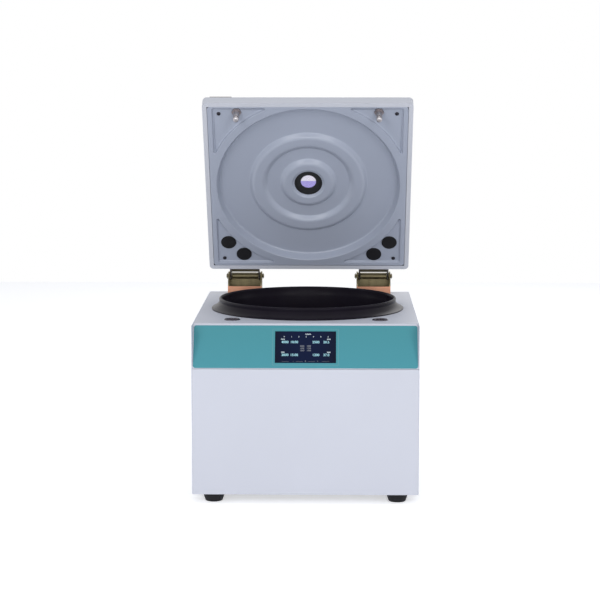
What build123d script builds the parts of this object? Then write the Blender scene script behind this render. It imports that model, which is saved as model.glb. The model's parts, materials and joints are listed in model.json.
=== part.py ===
"""Benchtop laboratory centrifuge, standing with its lid open.

Millimetres.  X to the right, Y to the back, Z up; the origin is on the table under the middle.
The cabinet is sized around the chamber.  Lid pieces are drawn closed and then swung open.
"""
import os
from math import atan2, cos, pi, radians, sin, sqrt, tan

from build123d import *

# ---- chamber and cabinet
bowl_radius = 172.0          # inside of the chamber
bowl_depth = 190.0           # deck to chamber floor
bowl_wall = 1.5
bowl_corner = 22.0           # radius between wall and floor
bowl_flange = 14.0
under_bowl = 130.25          # top of base plate to chamber floor
seal_foot = 21.0             # rubber seal beyond the chamber radius
side_land = 22.0             # deck beside the seal
front_land = 35.0            # deck in front of the seal
rear_land = 74.7             # deck behind the seal, room for the hinges
sheet = 1.5
base_sheet = 2.0
foot_height = 17.0
panel_setback = 44.3         # control panel leans back this far
panel_rise = 81.25           # and is this high
deck_bend = 5.0
rear_recess = 6.0            # rear panel set in from the cabinet's back edge

# ---- lid
lid_thickness = 24.5
lid_side_inset = 4.05
lid_front_inset = 25.5
lid_rear_inset = 55.3
lid_gap = 5.6                # closed lid above the deck
lid_corner = 9.0
lid_hem = 9.0                # folded edge round the liner
liner_gap = 0.5
liner_wall = 2.5
liner_recess = 17.0
liner_raise = 9.0            # depth of the boss and the raised rib
pocket_depth = 4.5
pocket_side_inset = 19.0
pocket_front_inset = 12.5
pocket_rear_inset = 17.4
pocket_tip_radius = 3.0
lid_open_angle = 59.0
hinge_rise = 35.45           # hinge pin above the deck
hinge_inset = 14.0           # hinge pin in from the back edge

# ---- hinges
hinge_centre_x = 137.75
hinge_width = 72.5
hinge_sheet = 3.0
hinge_side_gap = 1.5
hinge_disc = 9.0
hinge_pin_radius = 4.0
hinge_screw_spread = 35.0

# ---- latches
pin_side_inset = 68.45       # from the lid's side edge
pin_front_inset = 22.7
pin_radius = 6.0
pin_neck_radius = 3.2
pin_length = 33.0
pin_tip = 5.5
pin_neck = 6.0
bolt_sheet = 3.0
bolt_travel = 12.0

# ---- rotor
rotor_radius = 105.0
rotor_height = 130.0
rotor_clearance = 15.0       # rotor foot above the chamber floor
outer_tubes = 16
inner_tubes = 8
outer_ring = 64.0
inner_ring = 40.0
tube_tilt = 22.0
tube_radius = 6.5
tube_length = 78.0
cap_radius = 8.5
cap_length = 22.0
shaft_radius = 8.0

# ---- motor
motor_radius = 60.0
motor_length = 84.0
motor_plate_radius = 110.0
motor_plate_sheet = 6.0
motor_plate_gap = 22.75      # plate to chamber underside
damper_ring = 92.0
damper_radius = 13.0
damper_height = 20.0

# ---- fits
running = 0.05               # shafts in bearings and hinge bores
seat = 0.02                  # pieces pushed together
clear = 0.3                  # pieces that pass each other

# ---- what follows from them
seal_radius = bowl_radius + seal_foot
width = 2 * (seal_radius + side_land)
depth = panel_setback + front_land + 2 * seal_radius + rear_land
front_y = -depth / 2
rear_y = depth / 2
axis_y = front_y + panel_setback + front_land + seal_radius
base_z = foot_height
base_top = base_z + base_sheet
floor_z = base_top + under_bowl
deck_z = floor_z + bowl_depth
deck_under = deck_z - sheet
panel_z = deck_z - panel_rise
deck_front_y = front_y + panel_setback
inner_x = width / 2 - sheet
rear_panel_y = rear_y - rear_recess
slope_length = sqrt(panel_setback ** 2 + panel_rise ** 2)
panel_plane = Plane(origin=(0, front_y, panel_z), x_dir=(1, 0, 0),
                    z_dir=(0, -panel_rise / slope_length, panel_setback / slope_length))

lid_half = width / 2 - lid_side_inset
lid_front_y = deck_front_y + lid_front_inset
lid_rear_y = rear_y - lid_rear_inset
rim_z = deck_z + lid_gap
lid_top = rim_z + lid_thickness
pivot_y = rear_y - hinge_inset
pivot_z = deck_z + hinge_rise
pin_x = lid_half - pin_side_inset
pin_y = lid_front_y + pin_front_inset
seal_height = lid_gap + liner_recess - clear
recess_radius = bowl_radius + 6.0
recess_rim = bowl_radius + 16.0
pocket_radius = recess_rim + 16.0
pocket_x = lid_half - pocket_side_inset
pocket_front_y = lid_front_y + pocket_front_inset
pocket_rear_y = lid_rear_y - pocket_rear_inset
pocket_z = rim_z + pocket_depth
pin_low = pocket_z - pin_length
neck_z = pin_low + pin_tip

rotor_foot = floor_z + rotor_clearance
rotor_top = rotor_foot + rotor_height
motor_top = floor_z - bowl_wall - motor_plate_gap - motor_plate_sheet
motor_low = motor_top - motor_length


# ---- plain shapes
def block(x0, x1, y0, y1, z0, z1):
    """Box between two corners."""
    return Pos((x0 + x1) / 2, (y0 + y1) / 2, (z0 + z1) / 2) * Box(x1 - x0, y1 - y0, z1 - z0)


def rod(radius, x, y, z0, z1):
    """Upright cylinder."""
    return Pos(x, y, (z0 + z1) / 2) * Cylinder(radius, z1 - z0)


def rod_x(radius, x0, x1, y, z):
    """Cylinder lying along X."""
    return Pos((x0 + x1) / 2, y, z) * Rot(0, 90, 0) * Cylinder(radius, x1 - x0)


def rod_y(radius, x, y0, y1, z):
    """Cylinder lying along Y."""
    return Pos(x, (y0 + y1) / 2, z) * Rot(90, 0, 0) * Cylinder(radius, y1 - y0)


def tube(outer, inner, x, y, z0, z1):
    """Upright ring."""
    return rod(outer, x, y, z0, z1) - rod(inner, x, y, z0 - 1, z1 + 1)


def turned(points, x=0.0, y=0.0):
    """Solid of revolution from (radius, height) points."""
    face = Plane.XZ * make_face(Polyline(*points, close=True))
    return Pos(x, y, 0) * revolve(face, Axis.Z)


def profile_x(points, x0, x1):
    """Outline of (y, z) points drawn out along X."""
    face = Plane.YZ * make_face(Polyline(*points, close=True))
    return Pos(x0, 0, 0) * extrude(face, x1 - x0)


def hex_bar(across, x, y, z0, z1):
    """Upright hexagon bar, size across flats."""
    face = RegularPolygon(across / 2, 6, major_radius=False)
    return Pos(x, y, z0) * extrude(face, z1 - z0)


def both_sides(shape):
    """The shape and its mirror image on the other side of the machine."""
    return [shape, mirror(shape, Plane.YZ)]


def opened(shape):
    """Swing a closed-lid shape to the open position."""
    return shape.rotate(Axis((0, pivot_y, pivot_z), (1, 0, 0)), -lid_open_angle)


def save(name, shapes):
    """Write one node; a list becomes separate solids in one file."""
    group = shapes if isinstance(shapes, list) else [shapes]
    solids = [solid for shape in group for solid in shape.solids()]
    export_step(Compound(children=solids), f"parts/{name}.step")


# ---- cabinet
foot_side_inset = 40.0
foot_end_inset = 27.0
foot_places = [(sx * (width / 2 - foot_side_inset), sy * (depth / 2 - foot_end_inset))
               for sx in (-1, 1) for sy in (-1, 1)]
foot_hole = 3.3


def damper_places():
    """Four columns that carry the motor plate."""
    reach = damper_ring * cos(radians(45))
    return [(sx * reach, axis_y + sy * reach) for sx in (-1, 1) for sy in (-1, 1)]


def base_plate():
    plate = block(-inner_x, inner_x, front_y + sheet, rear_panel_y - sheet, base_z, base_top)
    for x, y in foot_places:
        plate -= rod(foot_hole, x, y, base_z - 1, base_top + 1)
    for row in range(8):
        x = (row - 3.5) * 14.0
        plate -= block(x - 2.5, x + 2.5, axis_y - 30, axis_y + 30, base_z - 1, base_top + 1)
    return plate


def side_panel():
    """Right side: full profile, with folds to the base plate and the rear panel."""
    lip = 12.0
    skin = block(inner_x, width / 2, front_y, rear_y, base_z, deck_z)
    soft = [edge for edge in skin.edges().filter_by(Axis.X)
            if edge.center().Z > deck_z - 1 or edge.center().Z < base_z + 1]
    skin = fillet(soft, 4.0)
    rear_fold = block(inner_x - lip, inner_x, rear_panel_y - 2 * sheet, rear_panel_y - sheet,
                      base_top, deck_under - 1)
    base_fold = block(inner_x - lip, inner_x, front_y + 20, rear_panel_y - 2 * sheet,
                      base_top, base_top + sheet)
    panel = skin + rear_fold + base_fold
    for x, z in rear_screw_places():
        panel -= rod_y(1.8, x, rear_panel_y - 4, rear_panel_y, z)
    return panel


def front_panel():
    return block(-inner_x, inner_x, front_y, front_y + sheet, base_z, panel_z)


screen_width = 115.6
screen_height = 63.7
screen_top_gap = 16.3        # from the deck edge down the slope
screen_low = slope_length - screen_top_gap - screen_height
screen_mid = screen_low + screen_height / 2
overlay_film = 0.6
overlay_side = 1.5
panel_top_stop = 3.6         # control panel ends where the deck's bend begins
panel_foot_stop = 0.9


def on_panel(x0, x1, s0, s1, d0, d1):
    """Box on the leaning panel: across, up the slope, and out of it."""
    box = Pos((x0 + x1) / 2, (s0 + s1) / 2, (d0 + d1) / 2) * Box(x1 - x0, s1 - s0, d1 - d0)
    return panel_plane * box


def screen_box(grow, d0, d1):
    half = screen_width / 2 + grow
    return on_panel(-half, half, screen_low - grow, screen_low + screen_height + grow, d0, d1)


def control_panel():
    plate = on_panel(-inner_x, inner_x, panel_foot_stop, slope_length - panel_top_stop, -sheet, 0)
    return plate - screen_box(-2.0, -sheet - 1, 1)


def panel_overlay():
    s0 = panel_foot_stop + 1.2
    s1 = slope_length - panel_top_stop - 1.0
    half = inner_x - overlay_side
    face = Pos(0, (s0 + s1) / 2) * RectangleRounded(2 * half, s1 - s0, 4.5)
    film = panel_plane * extrude(face, overlay_film)
    return film - screen_box(seat, -1, 2)


def lcd_screen():
    glass = on_panel(-screen_width / 2, screen_width / 2, screen_low,
                     screen_low + screen_height, 0, overlay_film)
    grow = -2.0 - seat
    return glass + screen_box(grow, -6.0, 0)


board_drop = 16.0


def control_board():
    board = on_panel(-66, 66, screen_mid - 36, screen_mid + 36, -board_drop - 1.6, -board_drop)
    for x in (-58, 58):
        for s in (-30, 30):
            centre = panel_plane * Pos(x, screen_mid + s, -board_drop)
            board -= centre * Cylinder(1.6, 8)
    return board


def control_chips():
    """Connectors and chips on the back of the control board."""
    low = -board_drop - 1.6
    return [on_panel(-20, 20, screen_mid - 14, screen_mid + 14, low - 3, low),
            on_panel(30, 50, screen_mid - 25, screen_mid - 5, low - 6, low),
            on_panel(-52, -32, screen_mid - 5, screen_mid + 22, low - 4, low)]


def board_spacers():
    """Four pillars between the panel and its board."""
    pillars = []
    for x in (-61, 61):
        for s in (-33, 33):
            place = panel_plane * Pos(x, screen_mid + s, -(board_drop + sheet) / 2)
            pillars.append(place * Cylinder(3.5, board_drop - sheet))
    return pillars


def deck_plate():
    """Top sheet with a rounded front bend that meets the control panel."""
    slope = Vector(panel_setback, panel_rise) / slope_length
    lip = Vector(deck_front_y, deck_z) - slope * (panel_top_stop - seat)
    lip_in = lip + Vector(slope.Y, -slope.X) * sheet
    half_corner = (pi - atan2(panel_rise, panel_setback)) / 2
    corner_in = Vector(deck_front_y + sheet / tan(half_corner), deck_under)
    face = make_face(Polyline((rear_y, deck_z), (deck_front_y, deck_z), lip, lip_in, corner_in,
                              (rear_y, deck_under), close=True))
    face = fillet(face.vertices().sort_by_distance((deck_front_y, deck_z))[0], deck_bend)
    face = fillet(face.vertices().sort_by_distance(corner_in)[0], deck_bend - sheet)
    plate = Pos(-inner_x, 0, 0) * extrude(Plane.YZ * face, 2 * inner_x)
    plate -= rod(bowl_radius + bowl_wall + 1.0, 0, axis_y, deck_under - 2, deck_z + 1)
    for x in (-pin_x, pin_x):
        plate -= rod(bush_sleeve + seat, x, pin_y, deck_under - 2, deck_z + 1)
    for x, y in bracket_screw_places():
        plate -= rod(bracket_screw_radius + seat, x, y, deck_under - 2, deck_z + 1)
    return plate


def rear_panel():
    panel = block(-inner_x, inner_x, rear_panel_y - sheet, rear_panel_y, base_z, deck_under)
    panel -= rod_y(fan_duct, fan_x, rear_panel_y - 3, rear_panel_y + 1, fan_z)
    half_w, half_h = inlet_body[0] / 2 + seat, inlet_body[1] / 2 + seat
    panel -= block(inlet_x - half_w, inlet_x + half_w, rear_panel_y - 3, rear_panel_y + 1,
                   inlet_z - half_h, inlet_z + half_h)
    half_w, half_h = switch_body[0] / 2 + seat, switch_body[1] / 2 + seat
    panel -= block(inlet_x - half_w, inlet_x + half_w, rear_panel_y - 3, rear_panel_y + 1,
                   switch_z - half_h, switch_z + half_h)
    for x, z in rear_screw_places():
        panel -= rod_y(1.8, x, rear_panel_y - 3, rear_panel_y + 1, z)
    return panel


def rear_screw_places():
    x = inner_x - 6.0
    low, high = base_top + 25, deck_under - 25
    return [(sx * x, z) for sx in (-1, 1) for z in (low, (low + high) / 2, high)]


def rear_screws():
    """Pan-head screws that hold the rear panel to the side folds."""
    screws = []
    for x, z in rear_screw_places():
        head = rod_y(3.4, x, rear_panel_y, rear_panel_y + 2, z)
        shank = rod_y(1.75, x, rear_panel_y - 8, rear_panel_y + 0.5, z)
        screws.append(head + shank)
    return screws


# ---- chamber
def chamber_bowl():
    """Pressed stainless bowl: a flange on the deck, a wall and a floor with the shaft hole."""
    wall, low = bowl_radius + bowl_wall, floor_z - bowl_wall
    hole = boot_inner
    inner = bowl_radius - bowl_corner
    bend_z = floor_z + bowl_corner
    mid = bowl_corner * cos(radians(45))
    mid_out = (bowl_corner + bowl_wall) * cos(radians(45))
    outline = Polyline((wall, bend_z), (wall, deck_z), (bowl_radius + bowl_flange, deck_z),
                       (bowl_radius + bowl_flange, deck_z + bowl_wall),
                       (bowl_radius, deck_z + bowl_wall), (bowl_radius, bend_z))
    outline += ThreePointArc((bowl_radius, bend_z), (inner + mid, bend_z - mid), (inner, floor_z))
    outline += Polyline((inner, floor_z), (hole, floor_z), (hole, low), (inner, low))
    outline += ThreePointArc((inner, low), (inner + mid_out, bend_z - mid_out), (wall, bend_z))
    return Pos(0, axis_y, 0) * revolve(Plane.XZ * make_face(outline), Axis.Z)


armour_wall = 8.0
armour_gap = 2.5


def armour_ring():
    """Thick guard ring round the chamber, standing on the base plate."""
    inner = bowl_radius + bowl_wall + armour_gap
    return tube(inner + armour_wall, inner, 0, axis_y, base_top, deck_under - 8)


skirt_depth = 28.0           # seal's inner skirt below the deck
skirt_sheet = 2.5


def chamber_seal():
    """Rubber ring: a thin foot on the deck, a rounded lip and a skirt inside the chamber wall."""
    flange = bowl_radius + bowl_flange + clear
    bead = 3.2
    lip_r = bowl_radius + bead
    top = deck_z + seal_height
    over_flange = deck_z + bowl_wall + clear
    foot_edge = deck_z + 1.8
    neck = (lip_r + 2.2, top - 8.0)
    side = (lip_r + bead, top - bead)
    start = (lip_r - bead, top - bead)
    skirt_out = bowl_radius - clear
    skirt_in = skirt_out - skirt_sheet
    skirt_low = deck_z - skirt_depth
    outline = Polyline(start, (bowl_radius, deck_z + 7.0), (skirt_in, deck_z + 3.0),
                       (skirt_in, skirt_low), (skirt_out, skirt_low), (skirt_out, over_flange),
                       (flange, over_flange), (flange, deck_z), (seal_radius, deck_z),
                       (seal_radius, foot_edge))
    outline += ThreePointArc((seal_radius, foot_edge), (seal_radius - 9.5, deck_z + 7.0), neck)
    outline += Line(neck, side)
    outline += ThreePointArc(side, (lip_r, top), start)
    return Pos(0, axis_y, 0) * revolve(Plane.XZ * make_face(outline), Axis.Z)


boot_inner = 30.0
boot_outer = 44.0


def shaft_boot():
    """Rubber bellows between the motor plate and the chamber floor."""
    low, high = motor_top + motor_plate_sheet, floor_z - bowl_wall
    folds, wall = 4, 3.0
    pitch = (high - low) / (2 * folds)
    outer = [(boot_outer if i % 2 == 0 else boot_outer - 6, low + i * pitch)
             for i in range(2 * folds + 1)]
    inner = [(r - wall - 4, z) for r, z in reversed(outer)]
    return turned(outer + inner, 0, axis_y)


# ---- motor and its mount
def motor_mount_plate():
    top = motor_top + motor_plate_sheet
    plate = tube(motor_plate_radius, motor_neck + 1, 0, axis_y, motor_top, top)
    for x, y in damper_places():
        plate -= rod(stud_radius + 0.2, x, y, motor_top - 1, top + 1)
    for x, y in motor_screw_places():
        plate -= rod(3.2, x, y, motor_top - 1, top + 1)
    return plate


motor_neck = 17.0            # bearing seat
motor_cap = 10.0
stator_wall = 12.0
core_radius = 40.0
stud_radius = 4.0
nut_height = 6.0


def motor_screw_places():
    return [(50 * cos(radians(a)), axis_y + 50 * sin(radians(a))) for a in (0, 90, 180, 270)]


def motor_screws():
    top = motor_top + motor_plate_sheet
    screws = []
    for x, y in motor_screw_places():
        screws.append(rod(5, x, y, top, top + 4) + rod(3, x, y, motor_top - 7, top + 1))
    return screws


def motor_housing():
    wall = 6.0
    can = rod(motor_radius, 0, axis_y, motor_low, motor_top)
    can -= rod(motor_radius - wall, 0, axis_y, motor_low + motor_cap, motor_top - motor_cap)
    can -= rod(motor_neck + seat, 0, axis_y, motor_low - 1, motor_top + 1)
    for x, y in motor_screw_places():
        can -= rod(3 + seat, x, y, motor_top - 8, motor_top + 1)
    return can


def motor_bearings():
    rings = []
    for low in (motor_low, motor_top - motor_cap):
        rings.append(tube(motor_neck, shaft_radius + running, 0, axis_y, low, low + motor_cap))
    return rings


core_low = motor_low + 21
core_high = motor_top - 21


def motor_stator():
    outer = motor_radius - 6.0 - seat
    return tube(outer, outer - stator_wall, 0, axis_y, core_low, core_high)


def motor_core():
    return tube(core_radius, shaft_radius + seat, 0, axis_y, core_low, core_high)


def damper_posts():
    low = motor_top - damper_height
    nut_top = motor_top + motor_plate_sheet + nut_height
    return [rod(10, x, y, base_top, low) + rod(stud_radius, x, y, low - 1, nut_top + 1)
            for x, y in damper_places()]


def motor_dampers():
    return [tube(damper_radius, stud_radius + seat, x, y, motor_top - damper_height, motor_top)
            for x, y in damper_places()]


def damper_nuts():
    low = motor_top + motor_plate_sheet
    return [hex_bar(13, x, y, low, low + nut_height)
            - rod(stud_radius + seat, x, y, low - 1, low + nut_height + 1)
            for x, y in damper_places()]


def imbalance_sensor():
    low = motor_top + motor_plate_sheet
    return block(-12, 12, axis_y + 68, axis_y + 84, low, low + 11)


# ---- rotor
def ring_places():
    """Every tube station: radius of the cap, turn about the shaft."""
    outer = [(outer_ring, 360 / outer_tubes * (i + 0.5)) for i in range(outer_tubes)]
    inner = [(inner_ring, 360 / inner_tubes * i) for i in range(inner_tubes)]
    return outer + inner


dish_edge = 101.0
dish_foot = 28.0
dish_depth = 24.0
hollow_outer = 62.0          # lightening hollow under the rotor
hollow_inner = 30.0
hollow_height = 34.0


def station(radius, turn):
    """Frame at the dish surface, with its Z up along the leaning tube."""
    drop = dish_depth * (dish_edge - radius) / (dish_edge - dish_foot)
    return (Pos(0, axis_y, rotor_top - drop) * Rot(0, 0, turn) * Pos(radius, 0, 0)
            * Rot(0, -tube_tilt, 0))


def tube_shape(grow):
    """Round-bottomed tube, or with some growth the bore that it drops into."""
    radius = tube_radius + grow
    low, high = tube_mouth - tube_length + tube_radius, tube_mouth + grow
    return Pos(0, 0, (low + high) / 2) * Cylinder(radius, high - low) + Pos(0, 0, low) * Sphere(radius)


cap_lift = 1.6
cap_skirt = 9.0
tube_mouth = cap_lift + cap_skirt


def rotor_body():
    """Black spool-shaped rotor with a dished top and leaning tube bores."""
    top, foot = rotor_top, rotor_foot
    lip = (rotor_radius, top - 6)
    belly = (rotor_radius - 2, top - 70)
    heel = (rotor_radius - 35, foot)
    outline = Polyline((rotor_bore, top - dish_depth), (dish_foot, top - dish_depth),
                       (dish_edge, top), (rotor_radius - 1.5, top), (rotor_radius, top - 1.5), lip)
    outline += ThreePointArc(lip, (rotor_radius - 13, top - 30), belly)
    outline += ThreePointArc(belly, (rotor_radius - 9, top - 104), heel)
    outline += Polyline(heel, (hollow_outer, foot), (hollow_outer, foot + hollow_height - 8),
                        (hollow_inner, foot + hollow_height), (hollow_inner, foot),
                        (rotor_bore, foot), (rotor_bore, top - dish_depth))
    body = Pos(0, axis_y, 0) * revolve(Plane.XZ * make_face(outline), Axis.Z)
    return body - [station(r, turn) * tube_shape(clear) for r, turn in ring_places()]


rotor_bore = shaft_radius + seat


def drive_shaft():
    return rod(shaft_radius, 0, axis_y, motor_low + 2, rotor_top - dish_depth + 12)


def rotor_nut():
    low = rotor_top - dish_depth
    knob = rod(17, 0, axis_y, low, low + 6) + hex_bar(24, 0, axis_y, low + 6, low + 18)
    return knob - rod(rotor_bore, 0, axis_y, low - 1, low + 12.5)


def sample_tubes():
    return [station(r, turn) * tube_shape(0) for r, turn in ring_places()]


def tube_caps():
    """Each cap has a skirt round its tube and a hollow top."""
    caps = []
    for r, turn in ring_places():
        body = Pos(0, 0, cap_lift + cap_length / 2) * Cylinder(cap_radius, cap_length)
        skirt = Pos(0, 0, cap_lift + cap_skirt / 2) * Cylinder(tube_radius + seat, cap_skirt)
        hollow = Pos(0, 0, cap_lift + cap_length - 3.0) * Cylinder(4.6, 7.0)
        caps.append(station(r, turn) * (body - skirt - hollow))
    return caps


# ---- latches under the deck
bush_radius = 15.5
bush_sleeve = 12.0
bush_bore = 10.0
latch_half_x = 19.0
latch_half_y = 17.0
latch_drop = 38.0
bolt_z = neck_z + (pin_neck - bolt_sheet) / 2
bolt_half = 7.5
bolt_start = bush_bore + 0.6
bolt_reach = 34.0
bolt_gap = 0.2


def latch_bush():
    """Collar on the deck that the striker pin enters."""
    low = deck_under - 6
    flange = turned([(bush_bore, deck_z), (bush_radius, deck_z), (bush_radius, deck_z + 0.8),
                     (bush_radius - 1.2, deck_z + 2.0), (bush_bore + 1.0, deck_z + 2.0),
                     (bush_bore, deck_z + 1.0)], pin_x, pin_y)
    return flange + tube(bush_sleeve, bush_bore, pin_x, pin_y, low, deck_z + 0.5)


def latch_body():
    top = deck_under
    low = top - latch_drop
    body = block(pin_x - latch_half_x, pin_x + latch_half_x, pin_y - latch_half_y,
                 pin_y + latch_half_y, low, top)
    body -= rod(bush_sleeve + seat, pin_x, pin_y, top - 6.02, top + 1)
    body -= rod(bush_bore, pin_x, pin_y, low - 1, top)
    gap = bolt_gap
    slot = block(pin_x, pin_x + latch_half_x + 1, pin_y - bolt_half - gap,
                 pin_y + bolt_half + gap, bolt_z - gap, bolt_z + bolt_sheet + gap)
    inner = block(pin_x - bush_bore, pin_x, pin_y - bolt_half - gap, pin_y + bolt_half + gap,
                  bolt_z - gap, bolt_z + bolt_sheet + gap)
    return body - slot - inner


def latch_bolt():
    """Forked bolt, drawn back; it slides inwards round the striker pin's neck."""
    x0 = pin_x + bolt_start
    bar = block(x0, x0 + bolt_reach, pin_y - bolt_half, pin_y + bolt_half,
                bolt_z, bolt_z + bolt_sheet)
    eye = pin_neck_radius + clear
    centre = pin_x + bolt_travel
    bar -= rod(eye, centre, pin_y, bolt_z - 1, bolt_z + bolt_sheet + 1)
    return bar - block(x0 - 1, centre, pin_y - eye, pin_y + eye, bolt_z - 1,
                       bolt_z + bolt_sheet + 1)


def lock_solenoid():
    """Actuator on the outer side of the latch body; the bolt runs into its slot."""
    x0 = pin_x + latch_half_x
    x1 = x0 + 30.0
    mid = bolt_z + bolt_sheet / 2
    case = block(x0, x1, pin_y - 13, pin_y + 13, mid - 13, mid + 10)
    return case - block(x0 - 1, x1 - 2, pin_y - bolt_half - bolt_gap, pin_y + bolt_half + bolt_gap,
                        bolt_z - bolt_gap, bolt_z + bolt_sheet + bolt_gap)


# ---- hinges
bracket_screw_radius = 2.4
bracket_upstand = 16.0
bracket_front = 29.0         # bracket's front edge ahead of the pin
bracket_rear = 13.0          # and its back web behind the pin


def bracket_screw_places():
    half = hinge_screw_spread / 2
    rows = (pivot_y - 20.0, pivot_y + 3.0)
    return [(side * hinge_centre_x + dx, y) for side in (-1, 1) for dx in (-half, half)
            for y in rows]


def hinge_bracket():
    """Right outer bracket: base, back web, low front lip and two ears for the pin."""
    x0, x1 = hinge_centre_x - hinge_width / 2, hinge_centre_x + hinge_width / 2
    y0, y1 = pivot_y - bracket_front, pivot_y + bracket_rear
    top = pivot_z + hinge_disc
    t = hinge_sheet
    base = block(x0, x1, y0, y1, deck_z, deck_z + t)
    back = block(x0, x1, y1 - t, y1, deck_z, top - 3)
    lip = block(x0, x1, y0, y0 + t, deck_z, deck_z + bracket_upstand)
    ear = [(y0, deck_z), (y1, deck_z), (y1, top - 3), (y1 - 3, top), (pivot_y - 8, top),
           (y0 + 6, deck_z + bracket_upstand + 8), (y0, deck_z + bracket_upstand)]
    shape = base + back + lip + profile_x(ear, x0, x0 + t) + profile_x(ear, x1 - t, x1)
    shape -= rod_x(hinge_pin_radius + seat, x0 - 1, x1 + 1, pivot_y, pivot_z)
    for x, y in bracket_screw_places():
        shape -= rod(bracket_screw_radius + seat, x, y, deck_z - 1, deck_z + t + 1)
    return shape


def hinge_arm():
    """Right inner arm, drawn closed: a leaf on the lid, two cheeks and a top web."""
    half = hinge_width / 2 - hinge_sheet - hinge_side_gap
    x0, x1 = hinge_centre_x - half, hinge_centre_x + half
    t = hinge_sheet
    leaf_back = lid_rear_y + t
    leaf = block(x0, x1, lid_rear_y, leaf_back, rim_z + 3, lid_top - 1)
    cheek = [(leaf_back - 1, pivot_z - 17), (leaf_back - 1, lid_top - 1), (leaf_back + 2, lid_top - 1),
             (pivot_y - 3, pivot_z + 8.4), (pivot_y + 3, pivot_z), (pivot_y - 3, pivot_z - 8.4)]
    web = [(leaf_back - 1, lid_top - 1), (leaf_back + 2, lid_top - 1),
           (pivot_y - 8, pivot_z + 6.2), (pivot_y - 8, pivot_z + 3.7), (leaf_back + 2, lid_top - 3.5),
           (leaf_back - 1, lid_top - 3.5)]
    arm = leaf + profile_x(web, x0, x1)
    for a, b in ((x0, x0 + t), (x1 - t, x1)):
        arm += profile_x(cheek, a, b) + rod_x(hinge_disc, a, b, pivot_y, pivot_z)
    arm -= rod_x(hinge_pin_radius + running, x0 - 1, x1 + 1, pivot_y, pivot_z)
    for x, z in arm_screw_places():
        arm -= rod_y(2.2, x, lid_rear_y - 1, leaf_back + 1, z)
    return arm


def arm_screw_places():
    half = hinge_screw_spread / 2
    z = rim_z + lid_thickness * 0.5
    return [(hinge_centre_x - half, z), (hinge_centre_x + half, z)]


def arm_screws():
    head_y = lid_rear_y + hinge_sheet
    return [rod_y(4, x, head_y, head_y + 2.2, z) + rod_y(2.15, x, lid_rear_y - 6, head_y + 1, z)
            for x, z in arm_screw_places()]


def bracket_screws():
    head_z = deck_z + hinge_sheet
    return [rod(4.5, x, y, head_z, head_z + 2.4)
            + rod(bracket_screw_radius, x, y, deck_under - 6, head_z + 1)
            for x, y in bracket_screw_places()]


pin_overhang = 4.0


def hinge_pin():
    reach = hinge_width / 2 + pin_overhang
    bar = rod_x(hinge_pin_radius, hinge_centre_x - reach, hinge_centre_x + reach, pivot_y, pivot_z)
    for x in (hinge_centre_x - reach + 1.4, hinge_centre_x + reach - 2.6):
        bar -= (rod_x(hinge_pin_radius + 1, x, x + 1.2, pivot_y, pivot_z)
                - rod_x(hinge_pin_radius - 0.8, x, x + 1.2, pivot_y, pivot_z))
    return bar


def hinge_clips():
    reach = hinge_width / 2 + pin_overhang
    clips = []
    for x in (hinge_centre_x - reach + 1.45, hinge_centre_x + reach - 2.55):
        ring = rod_x(6.5, x, x + 1.1, pivot_y, pivot_z)
        ring -= rod_x(hinge_pin_radius - 0.75, x - 1, x + 2, pivot_y, pivot_z)
        clips.append(ring - block(x - 1, x + 2, pivot_y - 2, pivot_y + 2, pivot_z, pivot_z + 9))
    return clips


def hinge_spring():
    """Wound lid spring round the pin, its length between the arm's cheeks."""
    half = hinge_width / 2 - 2 * hinge_sheet - hinge_side_gap - 1.5
    wound = rod_x(6.2, hinge_centre_x - half, hinge_centre_x + half, pivot_y, pivot_z)
    tail = block(hinge_centre_x - 8, hinge_centre_x + 8, pivot_y + 4.6, pivot_y + 6.2,
                 deck_z + hinge_sheet, pivot_z)
    return wound + tail - rod_x(hinge_pin_radius + seat, hinge_centre_x - half - 1,
                                hinge_centre_x + half + 1, pivot_y, pivot_z)


# ---- lid, drawn closed
view_radius = 28.5
view_glass_radius = 21.0
view_window = 15.7
view_step = 9.5              # black step below the boss face
view_z = rim_z + liner_raise


def lid_slab(inset, z0, z1):
    """Lid outline, inset all round."""
    centre_y = (lid_front_y + lid_rear_y) / 2
    face = RectangleRounded(2 * (lid_half - inset), lid_rear_y - lid_front_y - 2 * inset,
                            max(lid_corner - inset, 1.5))
    return Pos(0, centre_y, z0) * extrude(face, z1 - z0)


def lid_shell():
    """Pressed cover: top, walls, an inward hem and a welded post for each liner screw."""
    skin = lid_slab(0, rim_z, lid_top)
    skin = fillet(skin.faces().sort_by(Axis.Z)[-1].edges(), 4.0)
    shell = skin - lid_slab(sheet, rim_z + sheet, lid_top - sheet)
    shell -= lid_slab(lid_hem, rim_z - 1, rim_z + sheet + 1)
    shell -= rod(view_radius + 0.5, 0, axis_y, lid_top - 3, lid_top + 1)
    for side in (-1, 1):
        for x, z in arm_screw_places():
            shell -= rod_y(2.2, side * x, lid_rear_y - 3, lid_rear_y + 1, z)
    low = pocket_z + liner_wall
    for x, y in liner_screw_places():
        shell += rod(5, x, y, low, lid_top - sheet / 2)
        shell -= rod(2.1, x, y, low - 1, lid_top - sheet - 0.5)
    return shell


def pocket(side_x, end_y, z0, z1, grow):
    """Corner pocket: a rounded corner cut off by a circle round the chamber axis."""
    x_edge = pocket_x + grow
    y_edge = abs(end_y - axis_y) + grow
    face = Pos(x_edge / 2, y_edge / 2) * Rectangle(x_edge, y_edge)
    face -= Circle(pocket_radius - grow)
    face = fillet(face.vertices(), pocket_tip_radius)
    solid = extrude(face, z1 - z0)
    if side_x < 0:
        solid = mirror(solid, Plane.YZ)
    if end_y < axis_y:
        solid = mirror(solid, Plane.XZ)
    return Pos(0, axis_y, z0) * solid


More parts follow.
